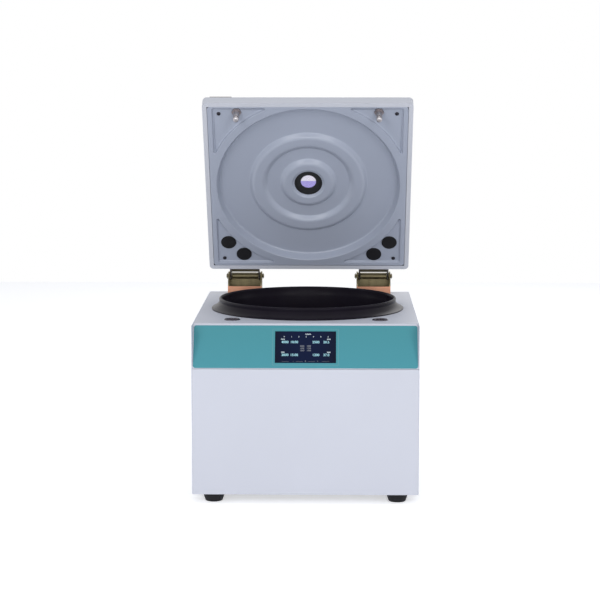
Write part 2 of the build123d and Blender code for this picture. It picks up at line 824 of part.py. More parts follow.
def recess_profile():
    """Underside relief of the liner: outer slope, channel, rib, channel and boss."""
    deep = rim_z + liner_recess
    high = rim_z + liner_raise
    low = rim_z - 1
    return [(0, low), (recess_rim + 0.6, low), (recess_rim, rim_z), (recess_radius, deep),
            (121.5, deep), (113.5, high), (92.5, high), (84.5, deep), (58, deep), (50, high),
            (34, high), (view_radius + 2, high + 3.5), (view_radius, high + 4), (0, high + 4)]


def lid_liner():
    """Moulded inner cover with corner pockets and concentric ribs."""
    back = rim_z + liner_recess + liner_wall
    liner = lid_slab(lid_hem + liner_gap, rim_z, rim_z + liner_wall)
    liner += rod(recess_rim + liner_wall, 0, axis_y, rim_z, back)
    corners = [(side, end) for side in (-1, 1) for end in (pocket_front_y, pocket_rear_y)]
    for side, end in corners:
        liner += pocket(side, end, rim_z, pocket_z + liner_wall, liner_wall)
    for side, end in corners:
        liner -= pocket(side, end, rim_z - 1, pocket_z, 0)
    liner -= turned(recess_profile(), 0, axis_y)
    liner -= rod(view_radius + seat, 0, axis_y, rim_z, back + 1)
    for x in (-pin_x, pin_x):
        liner -= rod(pin_stem + seat, x, pin_y, rim_z - 1, pocket_z + liner_wall + 1)
    for x, y in plug_places():
        liner -= rod(plug_stem + seat, x, y, rim_z - 1, pocket_z + liner_wall + 1)
    for x, y in liner_screw_places():
        liner -= rod(2.1, x, y, rim_z - 1, pocket_z + liner_wall + 1)
    return liner


plug_radius = 16.0
plug_stem = 12.0
plug_angles = (40.6, 52.0)


def plug_places():
    """Pairs of rubber plugs that follow the curved edge of the rear pockets."""
    reach = pocket_radius + plug_radius + 2.4
    return [(side * reach * cos(radians(a)), axis_y + reach * sin(radians(a)))
            for side in (-1, 1) for a in plug_angles]


def liner_plugs():
    plugs = []
    for x, y in plug_places():
        head = turned([(0, pocket_z), (plug_radius, pocket_z), (plug_radius, pocket_z - 1.4),
                       (plug_radius - 1.4, pocket_z - 2.2), (0, pocket_z - 2.2)], x, y)
        stem = rod(plug_stem, x, y, pocket_z - 1, pocket_z + liner_wall)
        plugs.append(head + stem + rod(plug_stem + 1, x, y, pocket_z + liner_wall,
                                       pocket_z + liner_wall + 2))
    return plugs


liner_screw_x_inset = 13.5
liner_screw_front = 15.0
liner_screw_rear = 9.0


def liner_screw_places():
    x = pocket_x - liner_screw_x_inset
    return [(side * x, y) for side in (-1, 1)
            for y in (pocket_front_y + liner_screw_front, pocket_rear_y - liner_screw_rear)]


def liner_screws():
    high = lid_top - sheet - 1
    return [rod(4, x, y, pocket_z - 2, pocket_z) + rod(2.08, x, y, pocket_z - 1, high)
            for x, y in liner_screw_places()]


pin_stem = 4.0
nut_across = 17.0


def striker_pins():
    """Necked striker pins that hang from the lid's front corners."""
    pins = []
    for x in (-pin_x, pin_x):
        shoulder = neck_z + pin_neck
        outline = [(0, pin_low), (3.0, pin_low), (5.2, pin_low + 1.4), (pin_radius, pin_low + 3.4),
                   (pin_radius, neck_z), (pin_neck_radius, neck_z), (pin_neck_radius, shoulder),
                   (pin_radius, shoulder), (pin_radius, pocket_z), (pin_stem, pocket_z),
                   (pin_stem, pocket_z + 9), (0, pocket_z + 9)]
        pins.append(turned(outline, x, pin_y))
    return pins


def striker_nuts():
    """Hexagon locknuts, one under the pocket face and one behind the liner."""
    nuts = []
    back = pocket_z + liner_wall
    for x in (-pin_x, pin_x):
        nuts.append(hex_bar(nut_across, x, pin_y, pocket_z - 5, pocket_z)
                    - rod(pin_radius + seat, x, pin_y, pocket_z - 6, pocket_z + 1))
        nuts.append(hex_bar(13, x, pin_y, back, back + 5)
                    - rod(pin_stem + seat, x, pin_y, back - 1, back + 6))
    return nuts


def viewport_tube():
    """Black sleeve through the lid with a step that frames the window."""
    step = view_z + view_step
    sleeve = [(view_radius, view_z + 4.1), (view_radius, lid_top), (view_glass_radius + seat, lid_top),
              (view_glass_radius + seat, step + 1.5), (view_window, step + 1.5),
              (view_window, step), (view_radius - 1.5, step), (view_radius - 1.5, view_z + 4.1)]
    return turned(sleeve, 0, axis_y)


def viewport_glass():
    step = view_z + view_step + 1.5
    return rod(view_glass_radius, 0, axis_y, step, lid_top - 0.5)


def viewport_ring():
    """Trim ring on the outside that holds the window in."""
    points = [(18, lid_top), (33, lid_top), (33, lid_top + 0.8), (31.5, lid_top + 1.8),
              (19.5, lid_top + 1.8), (18, lid_top + 0.8)]
    return turned(points, 0, axis_y)


plate_size = (44.0, 12.0, 7.0)
plate_front_inset = 4.5      # just behind the cover's rounded front edge
plate_side_inset = 14.0


def blank_plate():
    """Bare raised strip on the cover near its front left corner."""
    x0 = -lid_half + plate_side_inset
    y0 = lid_front_y + plate_front_inset
    return block(x0, x0 + plate_size[0], y0, y0 + plate_size[1], lid_top, lid_top + plate_size[2])


# ---- feet
def feet():
    shapes = []
    for x, y in foot_places:
        body = turned([(0, 0), (15.5, 0), (16.5, 1.0), (21.5, base_z - 1.5), (21.5, base_z),
                       (0, base_z)], x, y)
        body -= rod(7.5, x, y, -1, 7)
        shapes.append(body - rod(foot_hole, x, y, 6, base_z + 1))
    return shapes


def foot_fasteners():
    """A screw up through each foot and a nut inside the cabinet."""
    pieces = []
    for x, y in foot_places:
        pieces.append(rod(6, x, y, 3.6, 7) + rod(3, x, y, 6.5, base_top + 7))
        pieces.append(hex_bar(10, x, y, base_top, base_top + 5)
                      - rod(3 + seat, x, y, base_top - 1, base_top + 6))
    return pieces


# ---- fan, inlet and switch on the rear panel
fan_size = 92.0
fan_deep = 25.0
fan_duct = 43.0
fan_hub = 18.0
fan_blades = 7
fan_x = -(width / 2 - 105.0)
fan_z = deck_z - 110.0
inlet_x = width / 2 - 105.0
inlet_z = base_top + 60.0
inlet_body = (28.0, 21.0, 26.0)
inlet_flange = (50.0, 30.0)
inlet_mouth = (24.5, 16.5, 17.0)
switch_z = inlet_z + 45.0
switch_body = (22.0, 28.0, 18.0)
switch_flange = (27.0, 34.0)
flange_sheet = 2.0
fan_back = rear_panel_y - sheet


def fan_frame():
    """Square frame with a round duct, and a motor seat on four arms."""
    y0 = fan_back - fan_deep
    half = fan_size / 2
    frame = block(fan_x - half, fan_x + half, y0, fan_back, fan_z - half, fan_z + half)
    frame -= rod_y(fan_duct, fan_x, y0 - 1, fan_back + 1, fan_z)
    for turn in (45, 135):
        arm = Pos(fan_x, y0 + 1.5, fan_z) * Rot(0, turn, 0) * Box(2 * fan_duct + 4, 3, 5)
        frame += arm
    frame += rod_y(fan_hub - 1, fan_x, y0, y0 + 4, fan_z)
    return frame - rod_y(2 + running, fan_x, y0 - 1, y0 + 5, fan_z)


def fan_rotor():
    """Fan wheel: hub, pin and pitched blades, turning about Y."""
    y0 = fan_back - fan_deep + 4.6
    y1 = fan_back - 1.5
    wheel = rod_y(fan_hub, fan_x, y0, y1, fan_z)
    mid = (y0 + y1) / 2
    for i in range(fan_blades):
        blade = (Pos(fan_x, mid, fan_z) * Rot(0, 360 / fan_blades * i, 0)
                 * Pos((fan_hub + fan_duct) / 2 - 1.5, 0, 0) * Rot(38, 0, 0)
                 * Box(fan_duct - fan_hub, 1.6, 20))
        wheel += blade
    return wheel + rod_y(2, fan_x, y0 - 4.2, y0 + 1, fan_z)


def fan_grille():
    """Wire-like guard: rings and two crossed bars, with ears at the corners."""
    y0, y1 = rear_panel_y, rear_panel_y + 2
    guard = rod_y(6, fan_x, y0, y1, fan_z)
    for radius in (14.0, 22.5, 31.0, 39.5, 46.0):
        guard += rod_y(radius, fan_x, y0, y1, fan_z) - rod_y(radius - 1.8, fan_x, y0 - 1, y1 + 1, fan_z)
    for turn in (45, 135):
        guard += Pos(fan_x, (y0 + y1) / 2, fan_z) * Rot(0, turn, 0) * Box(122, 2, 4)
    for x, z in fan_screw_places():
        guard += rod_y(5, x, y0, y1, z)
        guard -= rod_y(2, x, y0 - 1, y1 + 1, z)
    return guard


def fan_screw_places():
    reach = fan_size / 2 - 4.75
    return [(fan_x + sx * reach, fan_z + sz * reach) for sx in (-1, 1) for sz in (-1, 1)]


def fan_screws():
    y1 = rear_panel_y + 2
    return [rod_y(3.4, x, y1, y1 + 1.8, z) + rod_y(1.9, x, rear_panel_y, y1 + 0.5, z)
            for x, z in fan_screw_places()]


def mains_inlet():
    """Appliance inlet: flange outside the panel, body inside and an open socket."""
    w, h, d = inlet_body
    fw, fh = inlet_flange
    y1 = rear_panel_y + flange_sheet
    body = block(inlet_x - fw / 2, inlet_x + fw / 2, rear_panel_y, y1, inlet_z - fh / 2,
                 inlet_z + fh / 2)
    body += block(inlet_x - w / 2, inlet_x + w / 2, rear_panel_y - d, y1, inlet_z - h / 2,
                  inlet_z + h / 2)
    mw, mh, md = inlet_mouth
    body -= block(inlet_x - mw / 2, inlet_x + mw / 2, y1 - md, y1 + 1, inlet_z - mh / 2,
                  inlet_z + mh / 2)
    for x, z in inlet_pin_places():
        body -= block(x - 1 - seat, x + 1 + seat, rear_panel_y - d - 1, y1 - md + 1,
                      z - 2 - seat, z + 2 + seat)
    return body


def inlet_pin_places():
    return [(inlet_x - 7, inlet_z - 2), (inlet_x, inlet_z + 2), (inlet_x + 7, inlet_z - 2)]


def inlet_pins():
    y1 = rear_panel_y + flange_sheet
    low = rear_panel_y - inlet_body[2] - 6
    high = y1 - 6
    return [block(x - 1, x + 1, low, high, z - 2, z + 2) for x, z in inlet_pin_places()]


def switch_frame():
    w, h, d = switch_body
    fw, fh = switch_flange
    y1 = rear_panel_y + flange_sheet
    frame = block(inlet_x - fw / 2, inlet_x + fw / 2, rear_panel_y, y1, switch_z - fh / 2,
                  switch_z + fh / 2)
    frame += block(inlet_x - w / 2, inlet_x + w / 2, rear_panel_y - d, y1, switch_z - h / 2,
                   switch_z + h / 2)
    frame -= block(inlet_x - w / 2 + 1.5, inlet_x + w / 2 - 1.5, rear_panel_y - d + 2, y1 + 1,
                   switch_z - h / 2 + 1.5, switch_z + h / 2 - 1.5)
    return frame - rod_x(1.5 + running, inlet_x - w / 2 - 1, inlet_x + w / 2 + 1,
                         rocker_y, switch_z)


rocker_y = rear_panel_y - 6.0
rocker_half = 10.6
rocker_throw = 10.0


def power_rocker():
    """Rocker with its off end pressed in; it turns about X in the switch frame."""
    half_w = switch_body[0] / 2 - 1.5 - clear
    rise = rocker_half * tan(radians(rocker_throw))
    top = 6.6
    outline = [(rocker_y + top, switch_z), (rocker_y + top + rise, switch_z + rocker_half),
               (rocker_y - 2, switch_z + rocker_half), (rocker_y - 3, switch_z),
               (rocker_y - 2, switch_z - rocker_half), (rocker_y + top + rise, switch_z - rocker_half)]
    shape = profile_x(outline, inlet_x - half_w, inlet_x + half_w)
    reach = switch_body[0] / 2 - 0.3
    shape += rod_x(1.5, inlet_x - reach, inlet_x + reach, rocker_y, switch_z)
    return shape.rotate(Axis((inlet_x, rocker_y, switch_z), (1, 0, 0)), -rocker_throw)


# ---- electronics on the base plate
board_width = 120.0
board_deep = 60.0
board_lift = 8.0
board_back = rear_panel_y - sheet - 4.0
board_left = -(inner_x - 16.0)


def power_board():
    z = base_top + board_lift
    return block(board_left, board_left + board_width, board_back - board_deep, board_back, z, z + 1.6)


def board_posts():
    posts = []
    for x in (board_left + 6, board_left + board_width - 6):
        for y in (board_back - board_deep + 6, board_back - 6):
            posts.append(rod(3, x, y, base_top, base_top + board_lift))
    return posts


def power_components():
    """Choke, capacitors, heat sink and relay on the power board."""
    z = base_top + board_lift + 1.6
    y = board_back - board_deep
    parts = [block(board_left + 6, board_left + 44, y + 14, y + 50, z, z + 32)]
    parts += [rod(8, board_left + 56 + 20 * i, y + 42, z, z + 30) for i in range(3)]
    fins = block(board_left + 50, board_left + 112, y + 6, y + 9, z, z + 35)
    for i in range(8):
        x = board_left + 51 + 8.4 * i
        fins += block(x, x + 1.6, y + 9, y + 21, z, z + 35)
    return parts + [fins]


def motor_drive():
    """Boxed motor inverter on the other side of the base plate."""
    x1 = width / 2 - foot_side_inset - 8
    box = block(x1 - 112, x1, board_back - 58, board_back, base_top, base_top + 38)
    box = fillet(box.edges().filter_by(Axis.Z), 2.0)
    for i in range(9):
        x = x1 - 100 + 11 * i
        box -= block(x, x + 4, board_back - 50, board_back - 8, base_top + 34, base_top + 39)
    return box


def write_parts():
    os.makedirs("parts", exist_ok=True)
    right_side = side_panel()
    bolt = latch_bolt()
    arm_fasteners = [part for screw in arm_screws() for part in both_sides(screw)]
    nodes = {
        "base_plate": base_plate(),
        "left_side_panel": mirror(right_side, Plane.YZ),
        "right_side_panel": right_side,
        "front_panel": front_panel(),
        "rear_panel": rear_panel(),
        "rear_screws": rear_screws() + fan_screws(),
        "deck_plate": deck_plate(),
        "control_panel": control_panel(),
        "panel_overlay": panel_overlay(),
        "lcd_screen": lcd_screen(),
        "control_board": [control_board()] + control_chips(),
        "board_pillars": board_spacers() + board_posts(),
        "feet": feet(),
        "foot_fasteners": foot_fasteners(),
        "chamber_bowl": chamber_bowl(),
        "armour_ring": armour_ring(),
        "chamber_seal": chamber_seal(),
        "shaft_boot": shaft_boot(),
        "motor_mount_plate": motor_mount_plate(),
        "motor_housing": motor_housing(),
        "motor_stator": motor_stator(),
        "motor_bearings": motor_bearings(),
        "motor_fasteners": motor_screws() + damper_nuts(),
        "damper_posts": damper_posts(),
        "motor_dampers": motor_dampers(),
        "imbalance_sensor": imbalance_sensor(),
        "motor_core": motor_core(),
        "drive_shaft": drive_shaft(),
        "rotor_body": rotor_body(),
        "rotor_nut": rotor_nut(),
        "sample_tubes": sample_tubes(),
        "tube_caps": tube_caps(),
        "latch_bushes": both_sides(latch_bush()),
        "latch_bodies": both_sides(latch_body()),
        "lock_solenoids": both_sides(lock_solenoid()),
        "right_latch_bolt": bolt,
        "left_latch_bolt": mirror(bolt, Plane.YZ),
        "hinge_brackets": both_sides(hinge_bracket()),
        "bracket_screws": bracket_screws(),
        "hinge_pins": both_sides(hinge_pin()) + [p for c in hinge_clips() for p in both_sides(c)],
        "hinge_springs": both_sides(hinge_spring()),
        "fan_frame": fan_frame(),
        "fan_rotor": fan_rotor(),
        "fan_grille": fan_grille(),
        "mains_inlet": [mains_inlet()] + inlet_pins(),
        "switch_frame": switch_frame(),
        "power_rocker": power_rocker(),
        "power_board": [power_board()] + power_components(),
        "motor_drive": motor_drive(),
    }
    lid_nodes = {
        "lid_shell": [lid_shell()],
        "lid_liner": [lid_liner()],
        "liner_plugs": liner_plugs(),
        "lid_screws": liner_screws() + arm_fasteners,
        "striker_pins": striker_pins(),
        "striker_nuts": striker_nuts(),
        "viewport_tube": [viewport_tube()],
        "viewport_glass": [viewport_glass()],
        "viewport_ring": [viewport_ring()],
        "blank_plate": [blank_plate()],
        "hinge_arms": both_sides(hinge_arm()),
    }
    for name, shapes in lid_nodes.items():
        nodes[name] = [opened(shape) for shape in shapes]
    for name, shapes in nodes.items():
        save(name, shapes)


write_parts()
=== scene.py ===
"""Finishes, fine shapes, light and camera of a benchtop laboratory centrifuge.

Metres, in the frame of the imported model: X right, Y back, Z up, origin on the table under the
middle of the cabinet.  Lid pieces are drawn with the lid shut and then swung open.
"""
import json
from math import asin, cos, hypot, pi, radians, sin, sqrt, tan

import bmesh
import bpy
from mathutils import Matrix, Vector


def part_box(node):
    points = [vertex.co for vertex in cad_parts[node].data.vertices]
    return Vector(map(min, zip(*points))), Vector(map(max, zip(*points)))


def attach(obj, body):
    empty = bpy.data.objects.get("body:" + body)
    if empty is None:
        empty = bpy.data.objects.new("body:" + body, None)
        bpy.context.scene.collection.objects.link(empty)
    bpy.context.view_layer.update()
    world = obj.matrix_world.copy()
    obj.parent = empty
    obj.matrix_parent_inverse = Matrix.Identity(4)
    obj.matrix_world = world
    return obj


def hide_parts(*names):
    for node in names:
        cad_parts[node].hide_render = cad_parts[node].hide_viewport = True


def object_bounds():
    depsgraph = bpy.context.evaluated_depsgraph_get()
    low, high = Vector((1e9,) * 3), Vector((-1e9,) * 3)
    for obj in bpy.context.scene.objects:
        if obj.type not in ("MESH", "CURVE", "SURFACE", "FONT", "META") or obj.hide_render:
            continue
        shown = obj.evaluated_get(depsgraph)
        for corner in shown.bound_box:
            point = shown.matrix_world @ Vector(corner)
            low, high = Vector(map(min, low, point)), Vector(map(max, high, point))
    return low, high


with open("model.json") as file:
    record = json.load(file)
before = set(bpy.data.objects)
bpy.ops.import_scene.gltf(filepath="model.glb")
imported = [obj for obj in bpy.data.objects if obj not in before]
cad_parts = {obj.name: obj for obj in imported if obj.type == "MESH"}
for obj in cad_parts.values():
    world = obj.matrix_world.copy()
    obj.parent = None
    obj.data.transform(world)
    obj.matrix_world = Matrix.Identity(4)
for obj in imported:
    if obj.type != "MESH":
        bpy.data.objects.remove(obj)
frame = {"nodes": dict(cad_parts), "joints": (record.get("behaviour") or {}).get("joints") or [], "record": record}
cad_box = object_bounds()

MM = 0.001
merge_gap = 0.004 * MM          # loose triangles of one solid meet closer than this
print_lift = 0.08 * MM          # printing stands this far off its glass
nodes = frame["nodes"]
slots = {part["node"]: part["material_slot"] for part in frame["record"]["subparts"]}
body_of = {node: body for body, members in frame["record"]["behaviour"]["bodies"].items()
           for node in members}

# ---- places taken from the frame
lid_joint = next(joint for joint in frame["joints"] if joint["name"] == "lid_hinge")
lid_pivot = Vector(lid_joint["pos_m"])
to_pivot = Matrix.Translation(lid_pivot)
lid_turn = Matrix.Rotation(-radians(lid_joint["range_deg"][1]), 4, "X")
lid_swing = to_pivot @ lid_turn @ to_pivot.inverted()
bowl_low, bowl_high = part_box("chamber_bowl")
chamber_axis = (bowl_low + bowl_high) / 2
deck_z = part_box("deck_plate")[1].z
cabinet_low = cad_box[0]

# ---- leaning control panel
panel_setback = 44.3 * MM
panel_rise = 81.25 * MM
slope_length = hypot(panel_setback, panel_rise)
panel_up = Vector((0, panel_setback, panel_rise)) / slope_length
panel_out = Vector((0, -panel_rise, panel_setback)) / slope_length
panel_foot = Vector((0, cabinet_low.y, deck_z - panel_rise))
screen_width = 115.6 * MM
screen_height = 63.7 * MM
screen_low = slope_length - 16.3 * MM - screen_height
film = 0.6 * MM


def closed_box(node):
    """Corners of a lid node's box with the lid shut."""
    shut = lid_swing.inverted()
    places = [shut @ vertex.co for vertex in nodes[node].data.vertices]
    low = Vector([min(place[axis] for place in places) for axis in range(3)])
    high = Vector([max(place[axis] for place in places) for axis in range(3)])
    return low, high


def tint(red, green, blue):
    """Linear colour from screen values of 0 to 255."""
    def linear(value):
        part = value / 255
        return part / 12.92 if part <= 0.04045 else ((part + 0.055) / 1.055) ** 2.4
    return (linear(red), linear(green), linear(blue), 1.0)


def scaled(colour, factor):
    """The colour made lighter or darker."""
    return tuple(min(1.0, part * factor) for part in colour[:3]) + (1.0,)


# ---- shader maths
class Channel:
    """Output of a shader node; arithmetic on it adds Math nodes."""

    def __init__(self, finish, socket):
        self.finish = finish
        self.socket = socket

    def maths(self, operation, first, second=0.0):
        return self.finish.node("ShaderNodeMath", {"operation": operation}, {0: first, 1: second})

    def __add__(self, other):
        return self.maths("ADD", self, other)

    def __radd__(self, other):
        return self.maths("ADD", other, self)

    def __sub__(self, other):
        return self.maths("SUBTRACT", self, other)

    def __rsub__(self, other):
        return self.maths("SUBTRACT", other, self)

    def __mul__(self, other):
        return self.maths("MULTIPLY", self, other)

    def __rmul__(self, other):
        return self.maths("MULTIPLY", other, self)

    def __gt__(self, other):
        return self.maths("GREATER_THAN", self, other)

    def __lt__(self, other):
        return self.maths("LESS_THAN", self, other)

    def __pow__(self, other):
        return self.maths("POWER", self, other)

    def __abs__(self):
        return self.maths("ABSOLUTE", self)


class Finish:
    """A surface finish; uniform values are set on the shader's own sockets."""

    def __init__(self, name, **uniform):
        self.material = bpy.data.materials.new(name)
        self.material.use_nodes = True
        self.tree = self.material.node_tree
        self.shader = self.tree.nodes["Principled BSDF"]
        for socket, value in uniform.items():
            self.shader.inputs[socket.replace("_", " ")].default_value = value

    def node(self, kind, settings=None, inputs=None, output=0):
        """Add a node: its settings first, then the values or links of its sockets."""
        made = self.tree.nodes.new(kind)
        for name, value in (settings or {}).items():
            if name == "stops":
                for place, colour in value[1:-1]:
                    made.color_ramp.elements.new(place).color = colour
                ends = made.color_ramp.elements
                ends[0].position, ends[0].color = value[0]
                ends[len(value) - 1].position, ends[len(value) - 1].color = value[-1]
            else:
                setattr(made, name, value)
        for key, value in (inputs or {}).items():
            self.feed(made.inputs[key], value)
        return Channel(self, made.outputs[output])

    def feed(self, socket, value):
        if isinstance(value, Channel):
            self.tree.links.new(value.socket, socket)
        else:
            socket.default_value = value

    def place(self):
        """Object coordinates, in metres."""
        return self.node("ShaderNodeTexCoord", output="Object")

    def axes(self):
        split = self.node("ShaderNodeSeparateXYZ", {}, {0: self.place()})
        return [Channel(self, split.socket.node.outputs[i]) for i in range(3)]

    def noise(self, scale, detail=2.0, stretch=(1, 1, 1), at=None):
        spot = self.node("ShaderNodeMapping", {}, {"Vector": at or self.place(), "Scale": stretch})
        return self.node("ShaderNodeTexNoise", {},
                         {"Vector": spot, "Scale": scale, "Detail": detail})

    def mix(self, factor, first, second):
        return self.node("ShaderNodeMix", {"data_type": "RGBA"},
                         {0: factor, 6: first, 7: second}, output=2)

    def set(self, socket, value):
        self.feed(self.shader.inputs[socket], value)

    def bump(self, height, depth):
        """Relief of the given depth in metres."""
        relief = self.node("ShaderNodeBump", {}, {"Height": height, "Distance": depth,
                                                  "Strength": 1.0})
        self.set("Normal", relief)


def coated(name, colour, grain=700.0, depth=0.012 * MM, rough=0.42):
    """Powder coat or fine moulding grain with faint clouding."""
    finish = Finish(name, Specular_IOR_Level=0.5)
    clouds = finish.noise(6.0, 3.0)
    texture = finish.noise(grain, 3.0)
    finish.set("Base Color", finish.mix(clouds, scaled(colour, 0.97), scaled(colour, 1.03)))
    finish.set("Roughness", rough + texture * 0.12)
    finish.bump(texture, depth)
    return finish.material


def rubber(name, colour, rough=0.42, sheen=0.04, gloss=0.2):
    """Satin black rubber with a little bloom."""
    finish = Finish(name, Specular_IOR_Level=gloss, Sheen_Weight=sheen, Sheen_Roughness=0.5,
                    Sheen_Tint=tint(150, 140, 200))
    bloom = finish.noise(25.0, 4.0)
    pores = finish.noise(1500.0, 2.0)
    finish.set("Base Color", finish.mix(bloom, scaled(colour, 0.75), scaled(colour, 1.35)))
    finish.set("Roughness", rough + bloom * 0.1)
    finish.bump(pores, 0.015 * MM)
    return finish.material


def metal(name, colour, rough=0.3, grain=(1, 1, 1), scale=300.0, spread=0.12):
    """Bare metal with fine tool marks, long where the grain is stretched."""
    finish = Finish(name, Metallic=1.0)
    marks = finish.noise(scale, 3.0, grain)
    stain = finish.noise(18.0, 3.0)
    finish.set("Base Color",
               finish.mix(stain, scaled(colour, 1 - spread), scaled(colour, 1 + spread)))
    finish.set("Roughness", rough + marks * 0.18)
    finish.bump(marks, 0.008 * MM)
    return finish.material


def turned_steel(name, colour, rough=0.22):
    """Steel with fine rings round the chamber's axis."""
    finish = Finish(name, Metallic=1.0)
    x, y, z = finish.axes()
    across = y - chamber_axis.y
    radius = (x * x + across * across) ** 0.5
    where = finish.node("ShaderNodeCombineXYZ", {}, {0: radius, 1: z, 2: x * 0.01})
    rings = finish.noise(900.0, 2.0, at=where)
    finish.set("Base Color", finish.mix(rings, scaled(colour, 0.85), scaled(colour, 1.1)))
    finish.set("Roughness", rough + rings * 0.2)
    finish.bump(rings, 0.01 * MM)
    return finish.material


def moulded(name, colour, rough=0.38, coat=0.0):
    """Moulded plastic with a fine spark-eroded grain."""
    finish = Finish(name, Coat_Weight=coat, Coat_Roughness=0.15)
    grain = finish.noise(1100.0, 2.0)
    flow = finish.noise(12.0, 2.0)
    finish.set("Base Color", finish.mix(flow, scaled(colour, 0.93), scaled(colour, 1.07)))
    finish.set("Roughness", rough + grain * 0.1)
    finish.bump(grain, 0.012 * MM)
    return finish.material


def teal_film():
    """Printed front film, a little greyer towards its top edge."""
    finish = Finish("teal film", Coat_Weight=0.25, Coat_Roughness=0.25)
    height = finish.axes()[2]
    rise = (height - panel_foot.z) * (1 / panel_rise)
    body = finish.mix(rise, tint(52, 138, 152), tint(50, 132, 142))
    grain = finish.noise(900.0, 3.0)
    finish.set("Base Color", finish.mix(grain * 0.25, body, tint(62, 146, 158)))
    finish.set("Roughness", 0.36 + grain * 0.1)
    finish.bump(grain, 0.01 * MM)
    return finish.material


def display_glass():
    """Dark navy display, darker towards its rim."""
    finish = Finish("display glass", Specular_IOR_Level=0.12)
    x = finish.axes()[0]
    side = abs(x) * (2 / screen_width)
    glow = finish.noise(30.0, 1.0)
    colour = finish.mix(side ** 3.0, tint(6, 18, 50), tint(8, 10, 26))
    finish.set("Base Color", finish.mix(glow * 0.4, colour, tint(6, 26, 60)))
    finish.set("Roughness", 0.22 + glow * 0.05)
    return finish.material


def lit_print(name, colour, strength=1.0):
    """Self-lit characters on the display."""
    finish = Finish(name, Emission_Strength=strength, Roughness=0.4)
    flicker = finish.noise(400.0, 1.0)
    shown = finish.mix(flicker, scaled(colour, 0.85), colour)
    finish.set("Base Color", scaled(colour, 0.2))
    finish.set("Emission Color", shown)
    return finish.material


def plated(name, lip_front):
    """Yellow-passivated zinc; the bracket's low front lip is coppery, partly plating tone and partly a painted
    reflection.
    """
    finish = Finish(name, Metallic=0.85)
    y, z = finish.axes()[1:]
    patches = finish.noise(60.0, 5.0)
    streaks = finish.noise(240.0, 3.0, (1, 1, 0.12))
    olive = finish.mix(patches, tint(92, 88, 66), tint(140, 128, 96))
    olive = finish.mix(streaks * 0.5, olive, tint(66, 58, 48))
    # the lip's coppery colour is partly plating tone and partly a painted reflection
    lip_reflection_mask = (y < lip_front + 4 * MM) * (z < deck_z + 17 * MM)
    copper_tone_and_reflection = finish.mix(patches, tint(176, 122, 100), tint(192, 144, 116))
    finish.set("Base Color", finish.mix(lip_reflection_mask, olive, copper_tone_and_reflection))
    finish.set("Roughness", 0.34 + patches * 0.2)
    finish.bump(streaks, 0.01 * MM)
    return finish.material


def window():
    """Clear polycarbonate with a little haze; its lower half is coloured lavender as a painted reflection."""
    finish = Finish("clear window", Transmission_Weight=0.9, IOR=1.45)
    haze = finish.noise(80.0, 2.0)
    middle = sum(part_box("viewport_glass"), Vector()).z / 2
    # painted reflection: the window's lower half is coloured lavender
    lower_half_reflection_mask = finish.axes()[2] < middle
    clear = finish.mix(haze, tint(226, 222, 240), tint(238, 236, 248))
    finish.set("Base Color", finish.mix(lower_half_reflection_mask, clear, tint(176, 166, 232)))
    finish.set("Roughness", 0.04 + haze * 0.08)
    return finish.material


def board():
    """Green circuit board with a faint pattern of tracks."""
    finish = Finish("circuit board", Coat_Weight=0.3, Coat_Roughness=0.2)
    tracks = finish.noise(300.0, 1.0, (1, 0.15, 1))
    finish.set("Base Color", finish.mix(tracks > 0.52, tint(26, 82, 46), tint(44, 112, 62)))
    finish.set("Roughness", 0.35 + tracks * 0.1)
    return finish.material


cabinet_coat = coated("cabinet coat", tint(200, 203, 214))
lid_coat = coated("lid coat", tint(196, 199, 208))
liner_coat = coated("liner plastic", tint(160, 167, 183), grain=500.0, depth=0.012 * MM, rough=0.26)
seal_rubber = rubber("seal rubber", tint(25, 22, 30), 0.24, 0.0, 0.06)
foot_rubber = rubber("foot rubber", tint(26, 26, 28), 0.55)
drawn_steel = turned_steel("drawn stainless", tint(150, 152, 156))
primer = coated("primer grey", tint(92, 94, 97), rough=0.6)
cast_metal = metal("cast aluminium", tint(170, 172, 176), 0.45)
plain_steel = metal("turned steel", tint(168, 169, 172), 0.3)
dark_steel = metal("dark screws", tint(62, 60, 66), 0.4)
copper_wire = metal("varnished copper", tint(176, 106, 60), 0.4, (1, 1, 0.1))
black_anodised = coated("hard anodised rotor", tint(34, 34, 37), grain=900.0, depth=0.01 * MM,
                        rough=0.34)
tube_plastic = moulded("tube plastic", tint(222, 226, 228), 0.25, 0.3)
chrome = metal("bright plating", tint(196, 198, 204), 0.12, spread=0.04)
latch_metal = metal("dark latch collar", tint(84, 80, 88), 0.16, spread=0.06)
zinc = plated("passivated zinc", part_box("hinge_brackets")[0].y)
silver = metal("zinc plated bar", tint(176, 175, 174), 0.3, (0.1, 1, 1))
pin_steel = metal("striker steel", tint(176, 173, 176), 0.3, (1, 1, 0.2), 500.0)
nut_steel = metal("striker nut", tint(140, 132, 134), 0.34)
black_plastic = moulded("black plastic", tint(32, 33, 36), 0.45)
plate_coat = coated("bare plate", tint(142, 134, 130), rough=0.5)
plug_rubber = rubber("plug rubber", tint(22, 22, 24), 0.5)
print_white = lit_print("display characters", tint(224, 240, 248), 0.9)
print_cyan = lit_print("display values", tint(168, 226, 240), 0.9)
print_grey = lit_print("display small text", tint(150, 156, 166), 0.6)
film_line = moulded("printed frame line", tint(104, 146, 152), 0.4)


# ---- shapes
def link(name, mesh):
    piece = bpy.data.objects.new(name, mesh)
    bpy.context.scene.collection.objects.link(piece)
    return piece


def smooth(mesh, angle=32.0):
    """Smooth shading that stays crisp at edges sharper than the angle."""
    mesh.polygons.foreach_set("use_smooth", [True] * len(mesh.polygons))
    mesh.set_sharp_from_angle(angle=radians(angle))


def carry(piece, material, body, slot, replaced=()):
    """Give a finished piece its material and body; the slot is not used."""
    piece.data.materials.clear()
    piece.data.materials.append(material)
    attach(piece, body)
    if replaced:
        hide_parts(*replaced)
    return piece


